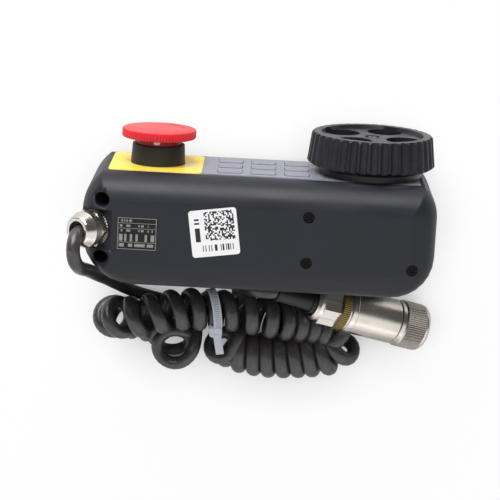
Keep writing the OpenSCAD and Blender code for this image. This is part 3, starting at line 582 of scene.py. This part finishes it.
@dataclass
class Studio:
    """Camera, lamps and floor."""

    elevation: float = 78.0
    roll: float = 3.0
    distance: float = 1.1
    sensor: float = 36.0
    lens: float = 145.332
    shift: tuple[float, float] = (-0.0186, -0.053)
    target: Point = (0.0, 0.0, 0.042)
    fill: float = 0.3
    back_glow: float = 0.75
    front_glow: float = -0.2
    floor_glow: float = 0.94
    floor_half: float = 3.0
    shadow_reach: float = 0.03
    lamp_aim: Point = (0.0, 0.0, 0.03)

    def camera(self) -> None:
        """Creates the camera, above the label side and a little towards the panel."""
        e, r = math.radians(self.elevation), math.radians(self.roll)
        back = Vector((0, math.cos(e), math.sin(e)))
        level = Vector((1, 0, 0))
        above = back.cross(level)
        right = level * math.cos(r) + above * math.sin(r)
        up = -level * math.sin(r) + above * math.cos(r)
        data = bpy.data.cameras.new("camera")
        data.sensor_width, data.lens = self.sensor, self.lens
        data.shift_x, data.shift_y = self.shift
        data.clip_start, data.clip_end = 0.05, 20
        camera = bpy.data.objects.new("camera", data)
        turn = Matrix((right, up, back)).transposed().to_4x4()
        camera.matrix_world = Matrix.Translation(Vector(self.target) + back * self.distance) @ turn
        link(camera)
        bpy.context.scene.camera = camera

    def lamp(self, name: str, at: Point, size: float, watts: float, glints: bool = True) -> None:
        """Adds a square soft lamp that faces the case.

        Args:
            name: the lamp's name.
            at: its place in metres.
            size: its side in metres.
            watts: its power.
            glints: whether shiny surfaces mirror it.
        """
        data = bpy.data.lights.new(name, "AREA")
        data.size, data.energy = size, watts
        lamp = bpy.data.objects.new(name, data)
        lamp.location = at
        lamp.visible_glossy = glints
        lamp.rotation_mode = "QUATERNION"
        lamp.rotation_quaternion = (Vector(self.lamp_aim) - Vector(at)).to_track_quat("-Z", "Y")
        link(lamp)

    def world(self) -> None:
        """Makes a grey surround that looks white to the camera and is mirrored unevenly."""
        world = bpy.data.worlds.new("surround")
        bpy.context.scene.world = world
        tree = empty_tree(world)
        path = add_node(tree, "LightPath")
        place = add_node(tree, "TexCoord").outputs["Generated"]
        heading = add_node(tree, "SeparateXYZ", {0: place})
        limits = {"From Min": -0.2, "From Max": 0.06, "To Min": self.back_glow, "To Max": self.front_glow}
        change = add_node(tree, "MapRange", {"Value": heading.outputs[1], **limits})
        mirrored = {0: path.outputs["Is Glossy Ray"], 1: change, 2: self.fill}
        shiny = add_node(tree, "Math", mirrored, operation="MULTIPLY_ADD")
        grey = add_node(tree, "Background", {"Color": (1, 1, 1, 1), "Strength": shiny})
        white = add_node(tree, "Background", {"Color": (1, 1, 1, 1), "Strength": 1.0})
        seen = {0: path.outputs["Is Camera Ray"], 1: grey, 2: white}
        mix = add_node(tree, "MixShader", seen)
        add_node(tree, "OutputWorld", {"Surface": mix})

    def floor(self) -> None:
        """Lays the white floor, which keeps a light shadow."""
        material = bpy.data.materials.new("white_floor")
        tree = empty_tree(material)
        path = add_node(tree, "LightPath")
        matt = add_node(tree, "BsdfDiffuse", {"Color": (0.8, 0.8, 0.8, 1)})
        pale = add_node(tree, "BsdfDiffuse", {"Color": (1, 1, 1, 1)})
        glow = add_node(tree, "Emission", {"Color": (1, 1, 1, 1), "Strength": 1.0})
        close = add_node(tree, "AmbientOcclusion", {"Distance": self.shadow_reach}, samples=8)
        open_share = {0: close.outputs["AO"], 1: self.floor_glow}
        share = add_node(tree, "Math", open_share, operation="MULTIPLY")
        layers = {0: share, 1: pale, 2: glow}
        both = add_node(tree, "MixShader", layers)
        seen = {0: path.outputs["Is Camera Ray"], 1: matt, 2: both}
        mix = add_node(tree, "MixShader", seen)
        add_node(tree, "OutputMaterial", {"Surface": mix})
        bm = bmesh.new()
        bmesh.ops.create_grid(bm, x_segments=1, y_segments=1, size=self.floor_half)
        floor = bpy.data.objects.new("floor", to_mesh(bm, "floor"))
        floor.data.materials.append(material)
        link(floor)

    def set_up(self) -> None:
        """Sets the whole studio up."""
        bpy.context.scene.view_settings.view_transform = "Standard"
        self.camera()
        self.world()
        self.floor()
        self.lamp("key_lamp", (-0.3, 1.15, 0.68), 1.0, 23.0)
        self.lamp("top_lamp", (0.1, 0.25, 1.5), 0.9, 5.0, glints=False)
        self.lamp("low_lamp", (0.3, -0.9, 0.6), 0.6, 0.5)


# ---- pieces

# Points closer than this, in metres, are one; faces closer in angle than the next are one face;
# a smooth copy's edges that are sharper than the next stay sharp, and those sharper than the last
# are broken.
SAME_POINT = 0.001 * MM
FLAT_DEGREES = 0.5
SHARP_DEGREES = 32.0
BROKEN_DEGREES = 40.0


def link_piece(name: str, mesh: bpy.types.Mesh, body: Body, finish: Finish) -> bpy.types.Object:
    """Links a mesh as a piece that rides on a body.

    Args:
        name: the piece's name.
        mesh: its mesh.
        body: the body that carries it.
        finish: its surface.

    Returns:
        The piece.
    """
    mesh.materials.clear()
    mesh.materials.append(finish.make())
    piece = bpy.data.objects.new(name, mesh)
    link(piece)
    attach(piece, body.value)
    LOG.info("%s: %d faces", name, len(mesh.polygons))
    return piece


def smooth_copy(frame: dict, node: str, body: Body, edge: float) -> bpy.types.Object:
    """Stands in for a CAD node with a merged copy that is shaded smoothly.

    Args:
        frame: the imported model.
        node: the CAD node's name.
        body: the body that carries it.
        edge: how far its sharp edges are broken, in millimetres.

    Returns:
        The new piece.
    """
    bm = bmesh.new()
    bm.from_mesh(frame["nodes"][node].data)
    bmesh.ops.remove_doubles(bm, verts=bm.verts, dist=SAME_POINT * 2)
    bmesh.ops.dissolve_limit(bm, angle_limit=math.radians(FLAT_DEGREES), verts=bm.verts, edges=bm.edges)
    piece = put(bm, node + "_smooth", body, NODE_FINISH[node], Matrix.Identity(4), SHARP_DEGREES)
    if edge > 0:
        broken = piece.modifiers.new("broken edges", "BEVEL")
        broken.width, broken.segments, broken.limit_method = edge * MM, 2, "ANGLE"
        broken.angle_limit = math.radians(BROKEN_DEGREES)
    weights = piece.modifiers.new("even shading", "WEIGHTED_NORMAL")
    weights.keep_sharp = True
    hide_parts(node)
    return piece


def lathe(bm: BMesh, profile: Sequence[tuple[float, float]], steps: int) -> None:
    """Turns a profile round the Z axis.

    Args:
        bm: the mesh that gets it.
        profile: radius and height of each corner, in millimetres.
        steps: faces round the axis.
    """
    corners = [bm.verts.new((r * MM, 0, h * MM)) for r, h in profile]
    edges = [bm.edges.new(pair) for pair in zip(corners, corners[1:])]
    bmesh.ops.spin(
        bm, geom=corners + edges, cent=(0, 0, 0), axis=(0, 0, 1), dvec=(0, 0, 0), angle=2 * math.pi,
        steps=steps, use_merge=True, use_duplicate=False,
    )
    bmesh.ops.remove_doubles(bm, verts=bm.verts, dist=SAME_POINT)
    bmesh.ops.recalc_face_normals(bm, faces=bm.faces)


def slab(bm: BMesh, size: Point, corner: float, edge: float) -> None:
    """Makes an empty mesh a flat block with rounded corners and soft edges, centred on its own middle.

    Args:
        bm: the mesh that gets it.
        size: length, width and thickness in millimetres.
        corner: radius of the upright corners.
        edge: radius of the top and bottom edges.
    """
    made = bmesh.ops.create_cube(bm, size=1.0)["verts"]
    bmesh.ops.scale(bm, vec=mm(size), verts=made)
    tall = 0.5 * size[2] * MM
    upright = [e for e in bm.edges if abs((e.verts[0].co - e.verts[1].co).z) > tall]
    round_off(bm, upright, corner, 5)
    flat = [f for f in bm.faces if f.is_valid and abs(f.normal.z) > 0.9 and len(f.verts) > 12]
    if edge > 0:
        round_off(bm, list({e for f in flat for e in f.edges}), edge, 2)


def round_off(bm: BMesh, edges: Sequence[BMEdge], radius: float, steps: int) -> None:
    """Rounds edges off.

    Args:
        bm: the mesh.
        edges: the edges to round.
        radius: the radius in millimetres.
        steps: faces across the rounding.
    """
    bm.normal_update()
    bmesh.ops.bevel(
        bm, geom=list(edges), offset=radius * MM, segments=steps, profile=0.5, affect="EDGES",
        material=-1, clamp_overlap=True,
    )
    bm.normal_update()


def to_mesh(bm: BMesh, name: str) -> bpy.types.Mesh:
    """Turns a finished bmesh into a mesh that is shaded smoothly.

    Args:
        bm: the bmesh, which is freed.
        name: the mesh's name.

    Returns:
        The mesh.
    """
    mesh = bpy.data.meshes.new(name)
    bm.to_mesh(mesh)
    bm.free()
    for polygon in mesh.polygons:
        polygon.use_smooth = True
    return mesh


def put(
    bm: BMesh, name: str, body: Body, finish: Finish, at: Matrix, sharp: float = 35.0
) -> bpy.types.Object:
    """Turns a finished bmesh into a piece in its place.

    Args:
        bm: the mesh, which is freed.
        name: the piece's name.
        body: the body that carries it.
        finish: its surface.
        at: where it goes.
        sharp: edges sharper than this many degrees stay sharp.

    Returns:
        The piece.
    """
    bmesh.ops.transform(bm, matrix=at, verts=bm.verts)
    mesh = to_mesh(bm, name)
    mesh.set_sharp_from_angle(angle=math.radians(sharp))
    return link_piece(name, mesh, body, finish)


def turned(at: Sequence[float], degrees: Point) -> Matrix:
    """Builds a place from a point in millimetres and a turn in degrees."""
    return Matrix.Translation(mm(at)) @ Euler([math.radians(a) for a in degrees]).to_matrix().to_4x4()


@dataclass
class StopButton:
    """The mushroom cap with its fine rim teeth, its arrow and the mark on the neck."""

    teeth: int = 72
    steps_per_tooth: int = 4
    tooth_depth: float = 0.45
    crown: float = 0.5
    arrow_at: float = 13.2
    arrow_turn: float = 14.0
    arrow_sweep: float = 52.0
    arrow_half: float = 1.0
    arrow_tip: float = 2.8
    arrow_height: float = 0.45
    mark_size: Point = (3.4, 2.2, 1.0)

    def cap(self) -> Matrix:
        """Builds the cap.

        Returns:
            The place of the cap's underside.
        """
        low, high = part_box("stop_cap")
        middle, r = (low + high) / 2 / MM, (high.x - low.x) / 2 / MM
        tall = (high.y - low.y) / MM - self.crown
        at = turned((middle.x, low.y / MM, middle.z), PANEL_TURN)
        bm = bmesh.new()
        lathe(
            bm,
            (
                (0, 1.4), (12, 1.4), (r - 2.6, 0.2), (r - 1.0, 0.1), (r - 0.3, 0.35), (r, 0.9),
                (r, tall - 1.0), (r - 0.15, tall - 0.45), (r - 0.6, tall - 0.08), (r - 1.6, tall + 0.05),
                (r * 0.6, tall + 0.34), (r * 0.25, tall + 0.46), (0, tall + self.crown),
            ),
            self.teeth * self.steps_per_tooth,
        )
        for vertex in bm.verts:
            x, y, z = vertex.co / MM
            if math.hypot(x, y) > r - 0.4 and z < tall - 0.2:
                place = round(math.degrees(math.atan2(y, x)) * self.teeth * self.steps_per_tooth / 360)
                if place % self.steps_per_tooth == 0:
                    vertex.co.x *= 1 - self.tooth_depth / r
                    vertex.co.y *= 1 - self.tooth_depth / r
        cap = put(bm, "mushroom_cap", Body.STOP_HEAD, CAP_RED, at, 28)
        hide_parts("stop_cap")
        return at @ Matrix.Translation((0, 0, tall * MM))

    def arrow(self, top: Matrix) -> None:
        """Moulds the turning arrow on the cap.

        Args:
            top: the place of the cap's upper rim.
        """
        bm = bmesh.new()
        start = bm.verts.new(((self.arrow_at - self.arrow_half) * MM, 0, 0))
        end = bm.verts.new(((self.arrow_at + self.arrow_half) * MM, 0, 0))
        edge = bm.edges.new((start, end))
        bmesh.ops.spin(
            bm, geom=[start, end, edge], cent=(0, 0, 0), axis=(0, 0, 1), dvec=(0, 0, 0),
            angle=math.radians(self.arrow_sweep), steps=16, use_merge=False, use_duplicate=False,
        )
        sweep = Matrix.Rotation(math.radians(self.arrow_sweep), 4, "Z")
        tip_at = sweep @ Matrix.Translation(mm((self.arrow_at, self.arrow_half, 0)))
        tip = bmesh.ops.create_circle(bm, cap_ends=True, segments=3, radius=self.arrow_tip * MM)["verts"]
        bmesh.ops.transform(bm, matrix=tip_at, verts=tip)
        bmesh.ops.recalc_face_normals(bm, faces=bm.faces)
        shell = bmesh.ops.extrude_face_region(bm, geom=list(bm.faces))
        raised = [v for v in shell["geom"] if isinstance(v, BMVert)]
        bmesh.ops.translate(bm, vec=mm((0, 0, self.arrow_height)), verts=raised)
        bmesh.ops.recalc_face_normals(bm, faces=bm.faces)
        place = turned((0, 0, 0.02), (0, 0, self.arrow_turn))
        # The arrow's darker red is painted shade on the cap's nylon.
        put(bm, "turning_arrow", Body.STOP_HEAD, ARROW_RED_PAINTED_SHADE, top @ place)

    def mark(self) -> None:
        """Sets the white index mark in the neck, on the label side."""
        low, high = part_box("stop_neck")
        collar_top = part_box("stop_collar")[1].y / MM
        middle = (low + high) / 2 / MM
        bm = bmesh.new()
        slab(bm, self.mark_size, 0.9, 0.3)
        at = turned((middle.x - 0.4, collar_top + 1.9, high.z / MM - 0.35), (0, 0, 0))
        put(bm, "index_mark", Body.STOP_HEAD, MARK_WHITE, at)

    def build(self) -> None:
        """Builds the cap, its arrow and the mark."""
        self.arrow(self.cap())
        self.mark()


@dataclass
class Labels:
    """The paper sticker and the type label on the label-side shell."""

    sticker: Point = (25.2, 25.2, 0.16)
    type_label: Point = (20.8, 17.4, 0.14)

    def build(self) -> None:
        """Sticks both labels on."""
        for name, size, corner, finish in (
            ("paper_sticker", self.sticker, 1.6, STICKER),
            ("type_label", self.type_label, 0.4, TYPE_LABEL),
        ):
            bm = bmesh.new()
            slab(bm, size, corner, 0)
            x, y, z = finish.centre
            at = turned((x, y, z + size[2] / 2 - 0.02), (0, 0, finish.turned))
            put(bm, name, Body.BASE, finish, at)


@dataclass
class CableTie:
    """The tie round the curls: a ridged band, its catch and the cut-off end."""

    inner_radius: float = 11.7
    thick: float = 1.0
    wide: float = 4.8
    end_at: Point = (-20.4, -64.6, 37.4)
    end_pitch: float = 33.0
    end_yaw: float = 9.0
    end_length: float = 17.0
    end_teeth: int = 34
    catch: Point = (7.2, 6.4, 3.8)
    tongue: Point = (5.2, 2.2, 2.2)

    def build(self) -> None:
        """Builds the band, the catch and the end."""
        r, t, w = self.inner_radius, self.thick, self.wide / 2
        bm = bmesh.new()
        lathe(
            bm,
            (
                (r, -w), (r + t - 0.25, -w), (r + t, -w + 0.3), (r + t, w - 0.3), (r + t - 0.25, w),
                (r, w), (r, -w),
            ),
            96,
        )
        band = put(bm, "tie_band", Body.BASE, TIE_NYLON, turned(TIE_AT, TIE_LEAN))
        bm = bmesh.new()
        slab(bm, self.catch, 0.8, 0.5)
        made = bmesh.ops.create_cube(bm, size=1.0)["verts"]
        bmesh.ops.scale(bm, vec=mm(self.tongue), verts=made)
        bmesh.ops.translate(bm, vec=mm((0, -1.6, 1.6)), verts=made)
        catch_at = turned(self.end_at, (self.end_pitch, 0, self.end_yaw / 3))
        middle = Matrix.Translation(mm((-0.6, 1.6, -0.9)))
        put(bm, "tie_catch", Body.BASE, TIE_PLAIN, catch_at @ middle, 50)
        bm = bmesh.new()
        rows = self.end_teeth
        bmesh.ops.create_grid(bm, x_segments=1, y_segments=rows, size=0.5)
        bmesh.ops.scale(bm, vec=mm((self.wide - 0.4, self.end_length, 1)), verts=bm.verts)
        for vertex in bm.verts:
            along = vertex.co.y / MM + self.end_length / 2
            tooth = round(along / self.end_length * rows) % 2
            vertex.co.z = (0.22 * tooth - 0.006 * along**2) * MM
        bmesh.ops.solidify(bm, geom=list(bm.faces), thickness=self.thick * MM)
        bmesh.ops.recalc_face_normals(bm, faces=bm.faces)
        end_at = turned(self.end_at, (self.end_pitch, 0, self.end_yaw))
        middle = Matrix.Translation(mm((0, -self.end_length / 2, 0.4)))
        put(bm, "tie_end", Body.BASE, TIE_PLAIN, end_at @ middle, 25)
        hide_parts("cable_tie")


@dataclass
class CouplingRing:
    """The plug's union ring: a slanting knurl between plain lips."""

    radius: float = 13.25
    length: float = 17.7
    inner_radius: float = 10.35
    mouth_radius: float = 11.1
    mouth_depth: float = 9.5

    def build(self) -> None:
        """Builds the ring."""
        r, long, bore = self.radius, self.length, self.inner_radius
        mouth, deep = self.mouth_radius, self.mouth_depth
        bm = bmesh.new()
        lathe(
            bm,
            (
                (mouth, 0), (r - 1.7, 0), (r - 1.4, 0.15), (r - 0.45, 1.3), (r - 0.35, 1.7),
                (r - 0.35, 2.6), (r - 0.1, 2.8), (r - 0.05, 8), (r - 0.1, long - 3.2), (r - 0.35, long - 3),
                (r - 0.9, long - 2.5), (r - 0.9, long - 0.3), (r - 1.2, long), (bore, long), (bore, deep),
                (mouth, deep), (mouth, 0),
            ),
            128,
        )
        at = turned(PLUG_END, PLUG_TURN)
        ring = put(bm, "knurled_union_ring", Body.COUPLING, NICKEL_KNURLED, at, 40)
        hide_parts("plug_coupling_ring")


@dataclass
class CurlyCord:
    """The cord: straight out of the gland, curled in folded rows, and straight into the plug."""

    diameter: float = 7.4
    gland_depth: float = 6.0
    gland_mouth: float = 15.0
    plug_length: float = 91.5
    boot_length: float = 22.7
    pressed: float = 0.04
    least_bend: float = 6.0
    spread: float = 0.13
    sides: int = 14
    spacing: float = 2.6
    final_spacing: float = 2.4
    easing_rounds: int = 40
    joint_choices: int = 24
    joint_chord: float = 13.0
    # Points at the gland's end and at the plug's that stay round, and points over which the press grows.
    round_ends: tuple[int, int] = (28, 30)
    fade: int = 14
    case_end: tuple[Point, ...] = (
        (-93.1, 0.6, 87), (-95, -1, 91), (-95.9, -4.4, 94.6), (-95.9, -8.8, 96), (-95.3, -13.2, 94.8),
        (-94.2, -17, 90.6), (-92.9, -20.4, 83), (-90.4, -25.4, 66), (-86.6, -31.3, 49.5),
        (-81.6, -37.1, 36), (-75.8, -42.9, 24), (-69.1, -48.3, 14), (-61.5, -52.2, 7.5),
        (-53, -55, 4.6), (-44.5, -57.5, 4.2), (-37.5, -60.5, 5.5), (-33.4, -64.5, 10.5),
        (-32.4, -69, 16.5),
    )
    plug_side: tuple[Point, ...] = (
        (-7.4, -68.5, 19), (-7.4, -63, 11.5), (-8.8, -56.5, 6.6), (-9.8, -50, 6.4), (-10, -44.8, 10.5),
        (-9.2, -41.4, 18), (-7.4, -39.8, 26.5), (-4.6, -39, 34), (-1.4, -38.2, 39.8),
        (2.6, -37.6, 43.4), (6.4, -37.4, 44.9), (9.4, -37.6, 44.8),
    )
    # The line that the curls go round, from the gland's end to the plug's: x, y, z, their outer
    # diameter and their pitch.
    curls: tuple[tuple[float, float, float, float, float], ...] = (
        (-44.3, -77.2, 31, 25.6, 7.8), (-44, -77.2, 25, 26.6, 7.8), (-44.5, -76.2, 19, 26.2, 7.8),
        (-47, -72.6, 14.3, 25, 8), (-52.5, -68, 12.8, 24.4, 8.6), (-59.5, -65.8, 12.7, 24.2, 9.4),
        (-66.5, -64.8, 12.8, 24.2, 10), (-73, -64, 14.4, 24.2, 10), (-77, -62.6, 18.5, 24.4, 9.5),
        (-78.4, -61, 24.5, 24.6, 9.5), (-76.6, -59.8, 30.5, 24.6, 9.5), (-72, -58.5, 35, 24.6, 10),
        (-65, -57.5, 37, 24.6, 11.2), (-54, -55, 36.5, 24.6, 12), (-42.5, -53, 34.5, 24.6, 11),
        (-30, -52.5, 31.8, 24.6, 9.4), (-22, -53.6, 30, 21.8, 9), (-14, -53, 28.4, 24.8, 11),
        (-2.5, -54.5, 27, 25, 12), (8.5, -56.5, 25, 25, 10.2), (18.5, -59.3, 22, 23.4, 8.4),
        (28, -61.5, 18.2, 22.6, 8.2), (37, -63.9, 15, 22.8, 8.2), (45.8, -67.6, 13.8, 24.4, 8.4),
        (48.8, -74.2, 13.4, 26, 8.6), (42, -78.8, 13.5, 26.4, 8.2), (30.5, -80.6, 13.5, 26.6, 7.9),
        (16, -81.8, 13.5, 26.6, 7.9), (3, -81.4, 13.4, 26.5, 7.9), (-7, -80.2, 13.4, 25.8, 7.9),
        (-13.5, -78.4, 13.4, 24.2, 7.9), (-16.8, -76.8, 16.8, 22.8, 7.8), (-18.2, -75.4, 22, 22.3, 7.8),
        (-18.4, -76, 29.5, 22.3, 7.8),
    )

    def gland_axis(self) -> Vector:
        """Direction out of the gland."""
        t = math.radians(GLAND_TILT)
        return Vector((-math.sin(t), 0, math.cos(t)))

    def plug_axis(self) -> Vector:
        """Direction from the coupling ring to the boot."""
        t, y = math.radians(90 - PLUG_TURN[1]), math.radians(PLUG_TURN[2])
        return Vector((math.cos(t) * math.cos(y), math.cos(t) * math.sin(y), math.sin(t)))

    def core(self) -> list[Vector]:
        """Draws the line, in millimetres, that the curls go round."""
        return catmull([Vector(c[:3]) for c in self.curls], 24)

    def helix(self) -> list[Vector]:
        """Winds the curls round their centreline.

        Returns:
            Points of the wound cord, in millimetres.
        """
        centre = self.core()
        sizes = catmull([Vector((c[3], c[4], 0)) for c in self.curls], 24)
        forward = (centre[1] - centre[0]).normalized()
        side = forward.orthogonal().normalized()
        turn = 0.0
        line: list[Vector] = []
        for i in range(len(centre) - 1):
            ahead = (centre[i + 1] - centre[max(i - 1, 0)]).normalized()
            side = (side - ahead * side.dot(ahead)).normalized()
            other = ahead.cross(side)
            step = (centre[i + 1] - centre[i]).length
            for k in range(6):
                t = k / 6
                spot = centre[i].lerp(centre[i + 1], t)
                radius = (sizes[i].x - self.diameter) / 2
                angle = turn + t * step * 2 * math.pi / sizes[i].y
                line.append(spot + radius * (side * math.cos(angle) + other * math.sin(angle)))
            turn += step * 2 * math.pi / sizes[i].y
        return resample(line, self.spacing)

    def ease(self, line: Sequence[Vector]) -> list[Vector]:
        """Opens the bends that are tighter than the jacket lets them be.

        Args:
            line: the cord's points, in millimetres.

        Returns:
            The eased points.
        """
        eased = [p.copy() for p in line]
        for _ in range(self.easing_rounds):
            for i in range(3, len(eased) - 3):
                back, ahead = eased[i] - eased[i - 1], eased[i + 1] - eased[i]
                turn = back.angle(ahead, 0.0)
                if turn > 0.5 * (back.length + ahead.length) / self.least_bend:
                    eased[i] = eased[i].lerp((eased[i - 1] + eased[i + 1]) / 2, 0.35)
                    eased[i].z = max(eased[i].z, self.diameter / 2)
        return eased

    @staticmethod
    def bridge(before: Sequence[Vector], after: Sequence[Vector]) -> list[Vector]:
        """Leads the cord from the end of one stretch to the start of the next without a kink.

        Args:
            before: the stretch it leaves.
            after: the stretch it joins.

        Returns:
            The points in between, without either end.
        """
        gap = (after[0] - before[-1]).length
        leave = (before[-1] - before[-2]).normalized() * gap
        join = (after[1] - after[0]).normalized() * gap
        points, pieces = [], 6
        for k in range(1, pieces):
            t = k / pieces
            points.append(
                before[-1] * (2 * t**3 - 3 * t**2 + 1) + leave * (t**3 - 2 * t**2 + t)
                + after[0] * (3 * t**2 - 2 * t**3) + join * (t**3 - t**2)
            )
        return points

    def meeting(self, before: Sequence[Vector], after: Sequence[Vector]) -> int:
        """Finds where the cord runs most smoothly into the first curls.

        Args:
            before: the stretch that arrives.
            after: the curls, counted from their end there.

        Returns:
            The index of the point to run to.
        """
        away = (before[-1] - before[-2]).normalized()
        best, choice = -9.0, 0
        for i in range(self.joint_choices):
            chord = after[i] - before[-1]
            out = away.dot(chord.normalized())
            into = (after[i + 1] - after[i]).normalized().dot(chord.normalized())
            score = min(out, into) - abs(out - into) - 0.03 * abs(chord.length - self.joint_chord)
            if score > best:
                best, choice = score, i
        return choice

    def centreline(self) -> list[Vector]:
        """Joins the straight ends and the curls into one line.

        Returns:
            The line's points, in metres.
        """
        axis, start = self.gland_axis(), Vector(GLAND_AT)
        boot_axis = self.plug_axis()
        boot = Vector(PLUG_END) + boot_axis * self.plug_length
        first = [start - axis * self.gland_depth, start + axis * 4] + [Vector(p) for p in self.case_end]
        last = [Vector(p) for p in self.plug_side]
        last += [boot - boot_axis, boot - boot_axis * self.boot_length]
        head, tail = (resample(catmull(points, 6), self.spacing) for points in (first, last))
        wound = self.helix()
        wound = wound[self.meeting(head, wound) :]
        wound = wound[: len(wound) - self.meeting(tail[::-1], wound[::-1])]
        join_a, join_b = self.bridge(head, wound), self.bridge(wound, tail)
        line = self.ease(resample(head + join_a + wound + join_b + tail, self.final_spacing))
        return [p * MM for p in line]

    def sweep(self, bm: BMesh, line: Sequence[Vector]) -> None:
        """Draws the jacket along the cord: round at its ends, pressed a little flat in the curls.

        Args:
            bm: the mesh that gets it.
            line: the cord's centreline, in metres.
        """
        core = [p * MM for p in self.core()[::3]]
        bmesh.ops.create_circle(bm, cap_ends=False, segments=self.sides, radius=1.0)
        ring, edges = list(bm.verts), list(bm.edges)
        before = Matrix.Identity(4)
        side = Vector((0, 0, 1))
        for i, point in enumerate(line):
            ahead = (line[min(i + 1, len(line) - 1)] - line[max(i - 1, 0)]).normalized()
            hub = min(core, key=lambda c: (c - point).length_squared)
            after, left = i - self.round_ends[0], len(line) - self.round_ends[1] - i
            curled = min(1.0, max(0.0, after / self.fade), max(0.0, left / self.fade))
            out = (point - hub).normalized()
            side = side.lerp(out, 0.25 * curled) if curled else side
            side = (side - ahead * side.dot(ahead)).normalized()
            across = ahead.cross(side)
            size = self.diameter / 2 * MM
            deep, wide = 1 - self.pressed * curled, 1 + self.spread * curled
            section = Matrix((side * size * deep, across * size * wide, ahead)).transposed()
            there = Matrix.Translation(point) @ section.to_4x4()
            if i:
                made = bmesh.ops.extrude_edge_only(bm, edges=edges)["geom"]
                ring = [g for g in made if isinstance(g, BMVert)]
                edges = [g for g in made if isinstance(g, BMEdge)]
            bmesh.ops.transform(bm, matrix=there @ before.inverted(), verts=ring)
            before = there
        bmesh.ops.holes_fill(bm, edges=[e for e in bm.edges if e.is_boundary], sides=0)
        bmesh.ops.recalc_face_normals(bm, faces=bm.faces)

    def build(self) -> bpy.types.Object:
        """Returns:
            The cord.
        """
        line = self.centreline()
        bm = bmesh.new()
        self.sweep(bm, line)
        cord = link_piece("curly_cord", to_mesh(bm, "curly_cord"), Body.BASE, CORD_PUR)
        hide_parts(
            "cord_case_end", "coil_left_turn", "coil_upper_row", "coil_lower_row", "cord_plug_end"
        )
        return cord


def main() -> None:
    """Builds the whole scene."""
    logging.basicConfig(level=logging.INFO, format="%(message)s")
    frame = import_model()
    Studio().set_up()
    CurlyCord().build()
    for node, piece in frame["nodes"].items():
        finish = NODE_FINISH.get(node, FOIL_GREY)
        piece.data.materials.clear()
        piece.data.materials.append(finish.make())
    StopButton().build()
    Labels().build()
    CableTie().build()
    CouplingRing().build()
    for node, (body, edge) in SMOOTHED.items():
        smooth_copy(frame, node, body, edge)


if __name__ == "__main__":
    main()
